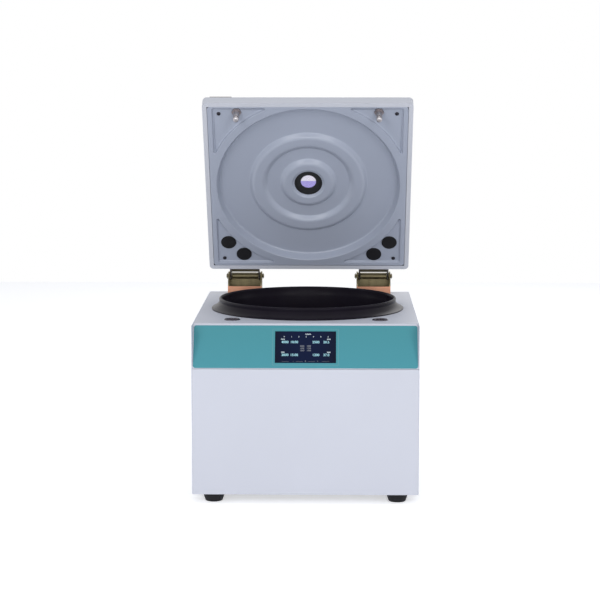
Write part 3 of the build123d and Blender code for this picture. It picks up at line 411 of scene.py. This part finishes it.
def dressed(node, material, edge=0.4):
    """Merged copy of a CAD node with its sharp edges broken, edge in millimetres."""
    form = bmesh.new()
    form.from_mesh(nodes[node].data)
    bmesh.ops.remove_doubles(form, verts=form.verts, dist=merge_gap)
    if edge:
        bmesh.ops.dissolve_limit(form, angle_limit=radians(0.4), verts=form.verts, edges=form.edges)
        sharp = [e for e in form.edges if e.is_manifold and e.calc_face_angle(0) > radians(38)]
        bmesh.ops.bevel(form, geom=sharp, offset=edge * MM, offset_type="OFFSET", segments=2,
                        profile=0.5, affect="EDGES", clamp_overlap=True)
    mesh = bpy.data.meshes.new(node + "_surface")
    form.to_mesh(mesh)
    form.free()
    smooth(mesh)
    piece = link(node + "_surface", mesh)
    flat = piece.modifiers.new("even faces", "WEIGHTED_NORMAL")
    flat.keep_sharp = True
    flat.weight = 100
    settle(piece, flat)
    return carry(piece, material, body_of[node], slots[node], (node,))


def settle(piece, modifier):
    """Turn the modifier's result into the piece's own mesh."""
    bpy.context.view_layer.update()
    shaped = piece.evaluated_get(bpy.context.evaluated_depsgraph_get())
    piece.data = bpy.data.meshes.new_from_object(shaped)
    piece.modifiers.remove(modifier)


def rounded(points, radii, steps=6):
    """Open outline whose inner corners are rounded to the given radii."""
    line = [Vector(points[0])]
    for before, corner, after, radius in zip(points, points[1:], points[2:], radii):
        corner = Vector(corner)
        back = (Vector(before) - corner).normalized()
        ahead = (Vector(after) - corner).normalized()
        half = back.angle(ahead) / 2
        reach = radius / tan(half)
        centre = corner + (back + ahead).normalized() * (radius / sin(half))
        start = corner + back * reach - centre
        end = corner + ahead * reach - centre
        sweep = start.angle(end)
        for step in range(steps + 1):
            part = step / steps
            blend = (start * sin((1 - part) * sweep) + end * sin(part * sweep)) / sin(sweep)
            line.append(centre + blend)
    line.append(Vector(points[-1]))
    return line


class Form:
    """Mesh built from closed rings of points joined by strips."""

    def __init__(self):
        self.form = bmesh.new()

    def ring(self, places):
        return [self.form.verts.new(place) for place in places]

    def strip(self, first, second):
        count = len(first)
        for i in range(count):
            after = (i + 1) % count
            self.form.faces.new((first[i], first[after], second[after], second[i]))

    def strips(self, rings):
        for first, second in zip(rings, rings[1:]):
            self.strip(first, second)

    def cap(self, ring):
        self.form.faces.new(ring)

    def sheet(self, rings):
        """Flat face bounded by the first ring, with the others as holes."""
        edges = []
        for ring in rings:
            for i, vertex in enumerate(ring):
                after = ring[(i + 1) % len(ring)]
                ends = (vertex, after)
                edges.append(self.form.edges.get(ends) or self.form.edges.new(ends))
        bmesh.ops.triangle_fill(self.form, use_beauty=True, edges=edges)

    def lathe(self, profile, centre, count=96):
        """Turn (radius, height) points round an upright axis; a point on the axis is a pole."""
        rings = []
        for radius, height in profile:
            if radius < 1e-7:
                rings.append(self.form.verts.new((centre[0], centre[1], height)))
            else:
                rings.append(self.ring([(centre[0] + radius * cos(2 * pi * i / count),
                                         centre[1] + radius * sin(2 * pi * i / count), height)
                                        for i in range(count)]))
        for first, second in zip(rings, rings[1:]):
            if isinstance(first, list) and isinstance(second, list):
                self.strip(first, second)
            else:
                pole, ring = (second, first) if isinstance(first, list) else (first, second)
                for i in range(count):
                    self.form.faces.new((ring[i], ring[(i + 1) % count], pole))
        return rings

    def piece(self, name, swing=None, angle=32.0):
        bmesh.ops.remove_doubles(self.form, verts=self.form.verts, dist=0.002 * MM)
        bmesh.ops.recalc_face_normals(self.form, faces=self.form.faces)
        mesh = bpy.data.meshes.new(name)
        self.form.to_mesh(mesh)
        self.form.free()
        if swing:
            mesh.transform(swing)
        smooth(mesh, angle)
        return link(name, mesh)


def scatter(name, part, places, turns, size=1.0):
    """One mesh with a copy of the part at each place; the copying is done by Geometry Nodes."""
    cloud = bpy.data.meshes.new(name + "_places")
    cloud.from_pydata([tuple(place) for place in places], [], [])
    lean = cloud.attributes.new("turn", "FLOAT_VECTOR", "POINT")
    for entry, turn in zip(lean.data, turns):
        entry.vector = turn
    host = link(name, cloud)
    tree = bpy.data.node_groups.new("copies at places", "GeometryNodeTree")
    face = tree.interface
    inputs = {}
    for label, kind in (("Geometry", "NodeSocketGeometry"), ("Part", "NodeSocketObject"),
                        ("Size", "NodeSocketFloat"), ("Finish", "NodeSocketMaterial")):
        inputs[label] = face.new_socket(label, in_out="INPUT", socket_type=kind).identifier
    face.new_socket("Geometry", in_out="OUTPUT", socket_type="NodeSocketGeometry")
    given = tree.nodes.new("NodeGroupInput")
    result = tree.nodes.new("NodeGroupOutput")
    source = tree.nodes.new("GeometryNodeObjectInfo")
    stored = tree.nodes.new("GeometryNodeInputNamedAttribute")
    stored.data_type = "FLOAT_VECTOR"
    stored.inputs["Name"].default_value = "turn"
    spin = tree.nodes.new("FunctionNodeEulerToRotation")
    copies = tree.nodes.new("GeometryNodeInstanceOnPoints")
    real = tree.nodes.new("GeometryNodeRealizeInstances")
    finish = tree.nodes.new("GeometryNodeSetMaterial")
    join = tree.links.new
    join(given.outputs["Part"], source.inputs["Object"])
    join(given.outputs["Geometry"], copies.inputs["Points"])
    join(source.outputs["Geometry"], copies.inputs["Instance"])
    join(stored.outputs[0], spin.inputs[0])
    join(spin.outputs[0], copies.inputs["Rotation"])
    join(given.outputs["Size"], copies.inputs["Scale"])
    join(copies.outputs["Instances"], real.inputs["Geometry"])
    join(real.outputs["Geometry"], finish.inputs["Geometry"])
    join(given.outputs["Finish"], finish.inputs["Material"])
    join(finish.outputs["Geometry"], result.inputs["Geometry"])
    maker = host.modifiers.new("copies", "NODES")
    maker.node_group = tree
    maker[inputs["Part"]] = part
    maker[inputs["Size"]] = size
    maker[inputs["Finish"]] = part.data.materials[0]
    bpy.context.view_layer.update()
    copied = host.evaluated_get(bpy.context.evaluated_depsgraph_get())
    solid = bpy.data.meshes.new_from_object(copied)
    host.modifiers.remove(maker)
    host.data = solid
    smooth(solid)
    bpy.data.objects.remove(part)
    return host


# ---- camera, light and floor
def set_camera():
    data = bpy.data.cameras.new("camera")
    data.lens = 112.39
    data.sensor_width = 36.0
    data.clip_end = 200.0       # metres
    camera = bpy.data.objects.new("camera", data)
    camera.location = (0.0566, -3.749, 0.8347)
    ahead = Vector((-0.01898, 0.99174, -0.12687))
    camera.rotation_euler = ahead.to_track_quat("-Z", "Y").to_euler()
    bpy.context.scene.collection.objects.link(camera)
    bpy.context.scene.camera = camera


def soft_light(name, place, size, power, target=(0, 0, 0.35), colour=(1, 1, 1)):
    data = bpy.data.lights.new(name, "AREA")
    data.shape = "RECTANGLE"
    data.size, data.size_y = size
    data.energy = power
    data.color = colour
    lamp = bpy.data.objects.new(name, data)
    lamp.location = place
    lamp.rotation_euler = (Vector(target) - Vector(place)).to_track_quat("-Z", "Y").to_euler()
    bpy.context.scene.collection.objects.link(lamp)


def set_light():
    soft_light("left softbox", (-1.5, -3.1, 1.7), (0.8, 1.9), 29)
    soft_light("right softbox", (1.5, -3.1, 1.6), (0.8, 1.9), 24)
    soft_light("low front fill", (0.2, -4.3, 0.5), (2.6, 0.8), 38)
    soft_light("side softbox", (2.8, 0.2, 1.2), (1.4, 1.4), 9)
    soft_light("far side softbox", (-2.8, 0.2, 1.2), (1.4, 1.4), 9)
    soft_light("top softbox", (0, 0.4, 2.9), (2.2, 2.2), 7)
    soft_light("rear softbox", (0.6, 2.8, 1.8), (1.8, 1.4), 12)


def seen_directly(tree):
    """1 for camera, mirror and glass rays, so that they see the plain white backdrop."""
    path = tree.nodes.new("ShaderNodeLightPath")
    total = path.outputs["Is Camera Ray"]
    for ray in ("Is Glossy Ray", "Is Transmission Ray"):
        step = tree.nodes.new("ShaderNodeMath")
        step.operation = "MAXIMUM"
        tree.links.new(total, step.inputs[0])
        tree.links.new(path.outputs[ray], step.inputs[1])
        total = step.outputs[0]
    return total


def set_world():
    world = bpy.data.worlds.new("studio")
    bpy.context.scene.world = world
    world.use_nodes = True
    tree = world.node_tree
    light = tree.nodes["Background"]
    light.inputs["Color"].default_value = (0.93, 0.95, 1.0, 1.0)
    light.inputs["Strength"].default_value = 0.40
    white = tree.nodes.new("ShaderNodeBackground")
    white.inputs["Color"].default_value = (1, 1, 1, 1)
    white.inputs["Strength"].default_value = 1.0
    choose = tree.nodes.new("ShaderNodeMixShader")
    tree.links.new(seen_directly(tree), choose.inputs[0])
    tree.links.new(light.outputs[0], choose.inputs[1])
    tree.links.new(white.outputs[0], choose.inputs[2])
    tree.links.new(choose.outputs[0], tree.nodes["World Output"].inputs[0])


def set_floor():
    half = 3.3
    mesh = bpy.data.meshes.new("floor")
    mesh.from_pydata([(-half, -half, 0), (half, -half, 0), (half, half, 0), (-half, half, 0)], [],
                     [(0, 1, 2, 3)])
    floor = link("floor", mesh)
    finish = Finish("plain floor", Roughness=0.9, Specular_IOR_Level=0.1)
    cloud = finish.noise(2.0, 2.0)
    finish.set("Base Color", finish.mix(cloud, tint(236, 237, 240), tint(240, 241, 243)))
    finish.set("Emission Color", (1, 1, 1, 1))
    tree = finish.tree
    glow = tree.nodes.new("ShaderNodeMath")
    glow.operation = "MULTIPLY"
    glow.inputs[1].default_value = 0.52
    tree.links.new(seen_directly(tree), glow.inputs[0])
    tree.links.new(glow.outputs[0], finish.shader.inputs["Emission Strength"])
    mesh.materials.append(finish.material)


# ---- cross-head screws
def islands(node, turn=Matrix()):
    """Box of each separate solid of a CAD node, seen in a turned frame."""
    form = bmesh.new()
    form.from_mesh(nodes[node].data)
    form.transform(turn)
    bmesh.ops.remove_doubles(form, verts=form.verts, dist=merge_gap)
    left = set(form.verts)
    boxes = []
    while left:
        queue = [left.pop()]
        found = []
        while queue:
            vertex = queue.pop()
            found.append(vertex.co.copy())
            for edge in vertex.link_edges:
                other = edge.other_vert(vertex)
                if other in left:
                    left.remove(other)
                    queue.append(other)
        boxes.append([Vector([pick(place[i] for place in found) for i in range(3)])
                      for pick in (min, max)])
    form.free()
    return sorted(boxes, key=lambda box: [round(value, 4) for value in (box[0] + box[1]) / 2])


def cross(half_width, reach, turn):
    """Radius of a cross-shaped outline in the given direction."""
    turn = (turn + pi / 4) % (pi / 2) - pi / 4
    if abs(tan(turn)) <= half_width / reach:
        return reach / cos(turn)
    return half_width / abs(sin(turn))


def screw(radius, height, shank, length, material):
    """Pan-head screw standing on its seat, with a driven cross in its head."""
    form = Form()
    count = 48
    turns = [2 * pi * i / count for i in range(count)]
    slot_half = 0.13 * radius
    slot_reach = 0.52 * radius

    def ring(size, z):
        return form.ring([(size * cos(t), size * sin(t), z) for t in turns])

    def cross_ring(scale, z):
        reach = [scale * cross(slot_half, slot_reach, t) for t in turns]
        return form.ring([(r * cos(t), r * sin(t), z) for r, t in zip(reach, turns)])

    rings = [ring(shank * 0.8, -length), ring(shank, -length + 0.4 * MM), ring(shank, 0),
             ring(radius, 0), ring(radius, height * 0.35), ring(radius * 0.93, height * 0.72),
             ring(radius * 0.72, height * 0.95), cross_ring(1.0, height),
             cross_ring(0.8, height * 0.35)]
    form.strips(rings)
    form.cap(rings[0])
    form.cap(rings[-1])
    piece = form.piece("screw", angle=40.0)
    piece.data.materials.append(material)
    return piece


def screws():
    """Screws of the back panel and the lid, the lid's set out with the lid shut."""
    boxes = islands("rear_screws")
    head = 2 * MM
    seats = [((low.x + high.x) / 2, high.y - head, (low.z + high.z) / 2) for low, high in boxes]
    turns = [(-pi / 2, 0.3 * i, 0) for i in range(len(seats))]
    part = screw(3.4 * MM, head, 1.75 * MM, 8 * MM, dark_steel)
    piece = scatter("rear_screws_surface", part, seats, turns)
    carry(piece, dark_steel, "cabinet", slots["rear_screws"], ("rear_screws",))
    seats = []
    turns = []
    head = 1.6 * MM
    for i, (low, high) in enumerate(islands("lid_screws", lid_swing.inverted())):
        middle = (low + high) / 2
        if high.y - low.y > high.x - low.x + MM:
            seats.append((middle.x, high.y - head, middle.z))
            turns.append((-pi / 2, 0.4 * i, 0))
        else:
            seats.append((middle.x, middle.y, low.z + head))
            turns.append((pi, 0, 0.4 * i))
    part = screw(4 * MM, head, 1.9 * MM, 7 * MM, dark_steel)
    piece = scatter("lid_screws_surface", part, seats, turns)
    piece.data.transform(lid_swing)
    carry(piece, dark_steel, "lid", slots["lid_screws"], ("lid_screws",))


# ---- lid liner
pocket_depth = 4.5 * MM
pocket_side = 9.5 * MM          # pocket's straight sides in from the liner's edge
pocket_front = 3.0 * MM
pocket_rear = 7.9 * MM
pocket_radius = 204.0 * MM
pocket_tip = 3.0 * MM
pocket_corner = 5.0 * MM


def rounded_box(low, high, inset, radius, height, steps=8):
    """Ring of a rounded rectangle, drawn in from the box's sides."""
    radius = max(radius - inset, 0.2 * MM)
    ring = []
    for quarter, (sx, sy) in enumerate(((1, 1), (-1, 1), (-1, -1), (1, -1))):
        x = (high.x if sx > 0 else low.x) - sx * (inset + radius)
        y = (high.y if sy > 0 else low.y) - sy * (inset + radius)
        for step in range(steps + 1):
            turn = (quarter + step / steps) * pi / 2
            ring.append((x + radius * cos(turn), y + radius * sin(turn), height))
    return ring


def arc(centre, radius, start, end, steps):
    return [(centre[0] + radius * cos(start + (end - start) * i / steps),
             centre[1] + radius * sin(start + (end - start) * i / steps)) for i in range(steps + 1)]


def pocket_ring(side, end, inset, height, mirror):
    """Corner pocket between two straight sides and an arc round the chamber's axis."""
    tip = pocket_tip - inset
    wide = pocket_radius + pocket_tip
    low_tip = (side - pocket_tip, sqrt(wide ** 2 - (side - pocket_tip) ** 2))
    top_tip = (sqrt(wide ** 2 - (end - pocket_tip) ** 2), end - pocket_tip)
    low_turn = pi / 2 - asin(low_tip[0] / wide)
    top_turn = pi / 2 - asin(top_tip[0] / wide)
    places = arc((side - pocket_corner, end - pocket_corner), pocket_corner - inset, 0, pi / 2, 6)
    places += arc(top_tip, tip, pi / 2, top_turn + pi, 6)
    places += arc((0, 0), pocket_radius + inset, top_turn, low_turn, 40)[1:-1]
    places += arc(low_tip, tip, low_turn + pi, 2 * pi, 6)
    return [(mirror[0] * x, chamber_axis.y + mirror[1] * y, height) for x, y in places]


def lid_liner():
    """Moulded inner lid: raised ribs round the window, a rim and four corner pockets."""
    low, high = closed_box("lid_liner")
    rim = low.z
    form = Form()
    relief = [(28.6, 16), (28.6, 13), (31, 12.5), (34, 9), (50, 9), (58, 17), (84.5, 17), (92.5, 9),
              (113.5, 9), (121.5, 17), (181.5, 17), (188, 0), (189.8, 0)]
    softness = [0.8, 1.0, 2.0, 11, 5, 5, 11, 11, 4, 5, 2.2]
    outline = rounded([(r * MM, rim + d * MM) for r, d in relief], [s * MM for s in softness], 7)
    rings = form.lathe(outline, (0, chamber_axis.y), 192)
    openings = [rings[-1]]
    wall = rounded([(-1.0 * MM, 0), (0, 0), (1.4 * MM, pocket_depth), (4.6 * MM, pocket_depth)],
                   [1.0 * MM, 3.0 * MM], 5)
    for mirror in ((1, 1), (-1, 1), (-1, -1), (1, -1)):
        side = high.x - pocket_side
        if mirror[1] > 0:
            end = high.y - pocket_rear - chamber_axis.y
        else:
            end = chamber_axis.y - low.y - pocket_front
        steps = [form.ring(pocket_ring(side, end, inset, rim + depth, mirror))
                 for inset, depth in wall]
        form.strips(steps)
        form.sheet([steps[-1]])
        openings.append(steps[0])
    edge = rounded([(1.4 * MM, 0), (0, 0), (0, 10 * MM)], [1.2 * MM], 5)
    border = [form.ring(rounded_box(low, high, inset, 6 * MM, rim + depth))
              for inset, depth in edge]
    form.strips(border)
    form.sheet([border[0]] + openings)
    piece = form.piece("lid_liner_surface", angle=50.0)
    level = [face.normal.z for face in piece.data.polygons if abs(face.normal.z) > 0.9]
    if sum(1 if rise < 0 else -1 for rise in level) < 0:
        piece.data.flip_normals()
    wall_maker = piece.modifiers.new("wall", "SOLIDIFY")
    wall_maker.thickness = 1.8 * MM
    wall_maker.offset = -1.0
    settle(piece, wall_maker)
    piece.data.transform(lid_swing)
    smooth(piece.data, 50.0)
    carry(piece, liner_coat, "lid", slots["lid_liner"], ("lid_liner",))


# ---- rotor caps
cap_order_outer = ("yellow", "pink", "red", "green", "yellow", "green", "red", "red",
                   "green", "red", "white", "red", "pink", "red", "red", "pink")
cap_order_inner = ("yellow", "green", "orange", "yellow", "yellow", "green", "orange", "green")
cap_colours = {"yellow": tint(226, 190, 44), "pink": tint(226, 120, 160), "red": tint(196, 36, 48),
               "green": tint(46, 150, 84), "white": tint(228, 228, 226),
               "orange": tint(228, 120, 40)}
outer_ring = 64.0 * MM
inner_ring = 40.0 * MM
tube_tilt = radians(22)
dish_edge = 101.0 * MM
dish_foot = 28.0 * MM
dish_depth = 24.0 * MM
cap_lift = 1.6 * MM
cap_radius = 8.5 * MM
cap_length = 22.0 * MM


def cap_mesh(material):
    """One tube cap with a hollow, rounded top and an open skirt."""
    form = Form()
    r, top, low = cap_radius, cap_lift + cap_length, cap_lift
    outline = rounded([(6.6 * MM, low + 9 * MM), (6.6 * MM, low), (r, low), (r - 0.2 * MM, top),
                       (4.8 * MM, top), (4.4 * MM, top - 6.6 * MM), (0, top - 6.8 * MM)],
                      [0.2 * MM, 0.6 * MM, 1.4 * MM, 0.8 * MM, 0.5 * MM], 3)
    form.lathe([(p.x, p.y) for p in outline], (0, 0), 48)
    piece = form.piece("cap", angle=40.0)
    piece.data.materials.append(material)
    return piece


def tube_caps():
    """Coloured caps on the loaded rotor, one piece for each colour."""
    rotor_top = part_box("rotor_body")[1].z
    stations = [(outer_ring, (i + 0.5) / 16, name) for i, name in enumerate(cap_order_outer)]
    stations += [(inner_ring, i / 8, name) for i, name in enumerate(cap_order_inner)]
    for number, (name, colour) in enumerate(cap_colours.items()):
        places, turns = [], []
        for radius, part, shown in stations:
            if shown != name:
                continue
            turn = 2 * pi * part
            drop = dish_depth * (dish_edge - radius) / (dish_edge - dish_foot)
            places.append((radius * cos(turn), chamber_axis.y + radius * sin(turn),
                           rotor_top - drop))
            lean = Matrix.Rotation(turn, 3, "Z") @ Matrix.Rotation(-tube_tilt, 3, "Y")
            turns.append(lean.to_euler())
        plastic = moulded(name + " cap plastic", colour, 0.3, 0.2)
        piece = scatter(name + "_caps", cap_mesh(plastic), places, turns)
        carry(piece, plastic, "rotor", "cap_plastic", ("tube_caps",) if number == 0 else ())


# ---- display
def on_panel(across, up, out):
    return panel_foot + Vector((across, 0, 0)) + panel_up * up + panel_out * out


panel_turn = Matrix((Vector((1, 0, 0)), panel_up, panel_out)).transposed().to_4x4()


def written(name, lines, material, out=print_lift):
    """Flat lettering on the display: (text, across, up, height) in metres."""
    meshes = []
    for text, across, up, height in lines:
        curve = bpy.data.curves.new(name, "FONT")
        curve.body = text
        curve.size = height * 1.35
        curve.align_x = "CENTER"
        curve.align_y = "CENTER"
        curve.resolution_u = 3
        curve.offset = 0.02 * height
        letter = bpy.data.objects.new(name, curve)
        mesh = bpy.data.meshes.new_from_object(letter)
        bpy.data.objects.remove(letter)
        place = Matrix.Translation(on_panel(across, screen_low + up, film + out))
        mesh.transform(place @ panel_turn)
        meshes.append(mesh)
    joined(name, meshes, material)


def joined(name, meshes, material):
    form = bmesh.new()
    for mesh in meshes:
        form.from_mesh(mesh)
    mesh = bpy.data.meshes.new(name)
    form.to_mesh(mesh)
    form.free()
    carry(link(name, mesh), material, "cabinet", "screen")


def flat_bars(name, bars, material, out=print_lift, slot="screen"):
    """Thin rectangles on the panel: (left, right, low, high) in metres up the slope."""
    form = bmesh.new()
    for left, right, low, high in bars:
        corners = [form.verts.new(on_panel(x, s, film + out))
                   for x, s in ((left, low), (right, low), (right, high), (left, high))]
        form.faces.new(corners)
    mesh = bpy.data.meshes.new(name)
    form.to_mesh(mesh)
    form.free()
    carry(link(name, mesh), material, "cabinet", slot)


def display():
    """Numbers on the display and the thin frame line printed round it."""
    w, h = screen_width, screen_height
    small, large = 2.5 * MM, 5.0 * MM
    values = [("4000", -0.335, 0.655), ("10:00", -0.185, 0.655), ("2500", 0.17, 0.655),
              ("20.5", 0.34, 0.655), ("3000", -0.335, 0.25), ("15:00", -0.185, 0.25),
              ("1200", 0.17, 0.25), ("37.0", 0.34, 0.25)]
    written("display_values", [(t, x * w, y * h, large) for t, x, y in values], print_cyan)
    labels = [("0000", -0.37, 0.745), ("0000", 0.38, 0.745), ("0000", -0.37, 0.335),
              ("0000", 0.38, 0.335), ("12:00:00", 0.04, 0.905)]
    labels += [(str(i), -0.35 + 0.12 * i, 0.825) for i in range(7)]
    written("display_labels", [(t, x * w, y * h, small) for t, x, y in labels], print_white)
    rows = [("%04d    %04d" % (500 * i + 500, 1000 + 250 * i), 0.0, 0.53 - 0.07 * i)
            for i in range(3)]
    rows += [("-", -0.2, 0.055), ("0", 0.0, 0.055), ("+", 0.2, 0.055)]
    written("display_rows", [(t, x * w, y * h, small * 1.2) for t, x, y in rows], print_grey)
    thin = 0.25 * MM
    low = screen_low + 0.045 * h
    bars = [(x * w - 0.06 * w, x * w + 0.06 * w, low, low + thin) for x in (-0.33, -0.1, 0.1, 0.33)]
    flat_bars("display_lines", bars, print_grey)
    grow, line = 4.6 * MM, 0.5 * MM
    left, right = -w / 2 - grow, w / 2 + grow
    foot, top = screen_low - grow, screen_low + h + grow
    frame_bars = [(left, right, foot, foot + line), (left, right, top - line, top),
                  (left, left + line, foot, top), (right - line, right, foot, top)]
    flat_bars("film_frame_line", frame_bars, film_line, 0.05 * MM, "teal_film")


# ---- build
set_camera()
set_light()
set_world()
set_floor()

small_metal = {
    "bracket_screws": plain_steel, "foot_fasteners": plain_steel,
    "board_pillars": plain_steel, "motor_fasteners": plain_steel, "damper_posts": plain_steel,
    "motor_bearings": plain_steel, "motor_core": plain_steel, "drive_shaft": plain_steel,
    "hinge_pins": zinc, "latch_bodies": zinc,
    "right_latch_bolt": chrome, "left_latch_bolt": chrome, "striker_nuts": nut_steel,
}
# each remaining node's material, or None for one of the special ones, and its edge in millimetres
finishes = {
    "base_plate": (cabinet_coat, 0.3), "left_side_panel": (cabinet_coat, 0.5),
    "right_side_panel": (cabinet_coat, 0.5), "front_panel": (cabinet_coat, 0.4),
    "rear_panel": (cabinet_coat, 0.3), "deck_plate": (cabinet_coat, 0.3),
    "control_panel": (cabinet_coat, 0.3), "panel_overlay": (None, 0.15), "lcd_screen": (None, 0.15),
    "control_board": (None, 0.0), "feet": (foot_rubber, 0.8), "chamber_bowl": (drawn_steel, 0.4),
    "armour_ring": (primer, 0.5), "chamber_seal": (seal_rubber, 0.6),
    "shaft_boot": (seal_rubber, 0.5),
    "motor_mount_plate": (primer, 0.5), "motor_housing": (cast_metal, 0.8),
    "motor_stator": (copper_wire, 0.5), "motor_dampers": (foot_rubber, 0.6),
    "imbalance_sensor": (black_plastic, 0.4), "rotor_body": (black_anodised, 0.5),
    "rotor_nut": (black_anodised, 0.6), "sample_tubes": (tube_plastic, 0.0),
    "latch_bushes": (latch_metal, 0.3), "lock_solenoids": (black_plastic, 0.5),
    "hinge_brackets": (zinc, 0.4), "hinge_springs": (zinc, 0.2), "fan_frame": (black_plastic, 0.4),
    "fan_rotor": (black_plastic, 0.3), "fan_grille": (chrome, 0.2),
    "mains_inlet": (black_plastic, 0.4),
    "switch_frame": (black_plastic, 0.4), "power_rocker": (black_plastic, 0.4),
    "power_board": (None, 0.0), "motor_drive": (cast_metal, 0.5), "lid_shell": (lid_coat, 0.0),
    "liner_plugs": (plug_rubber, 0.6), "striker_pins": (pin_steel, 0.4),
    "viewport_tube": (black_plastic, 0.3), "viewport_glass": (None, 0.3),
    "viewport_ring": (black_plastic, 0.5), "blank_plate": (plate_coat, 0.3),
    "hinge_arms": (silver, 0.4),
}
special = {"panel_overlay": teal_film(), "lcd_screen": display_glass(), "viewport_glass": window()}
circuit = board()
special["control_board"] = circuit
special["power_board"] = circuit
for node, (material, edge) in finishes.items():
    dressed(node, material or special[node], edge)
for node, material in small_metal.items():
    dressed(node, material, 0.25)
screws()
lid_liner()
tube_caps()
display()

bpy.context.scene.view_settings.view_transform = "Standard"
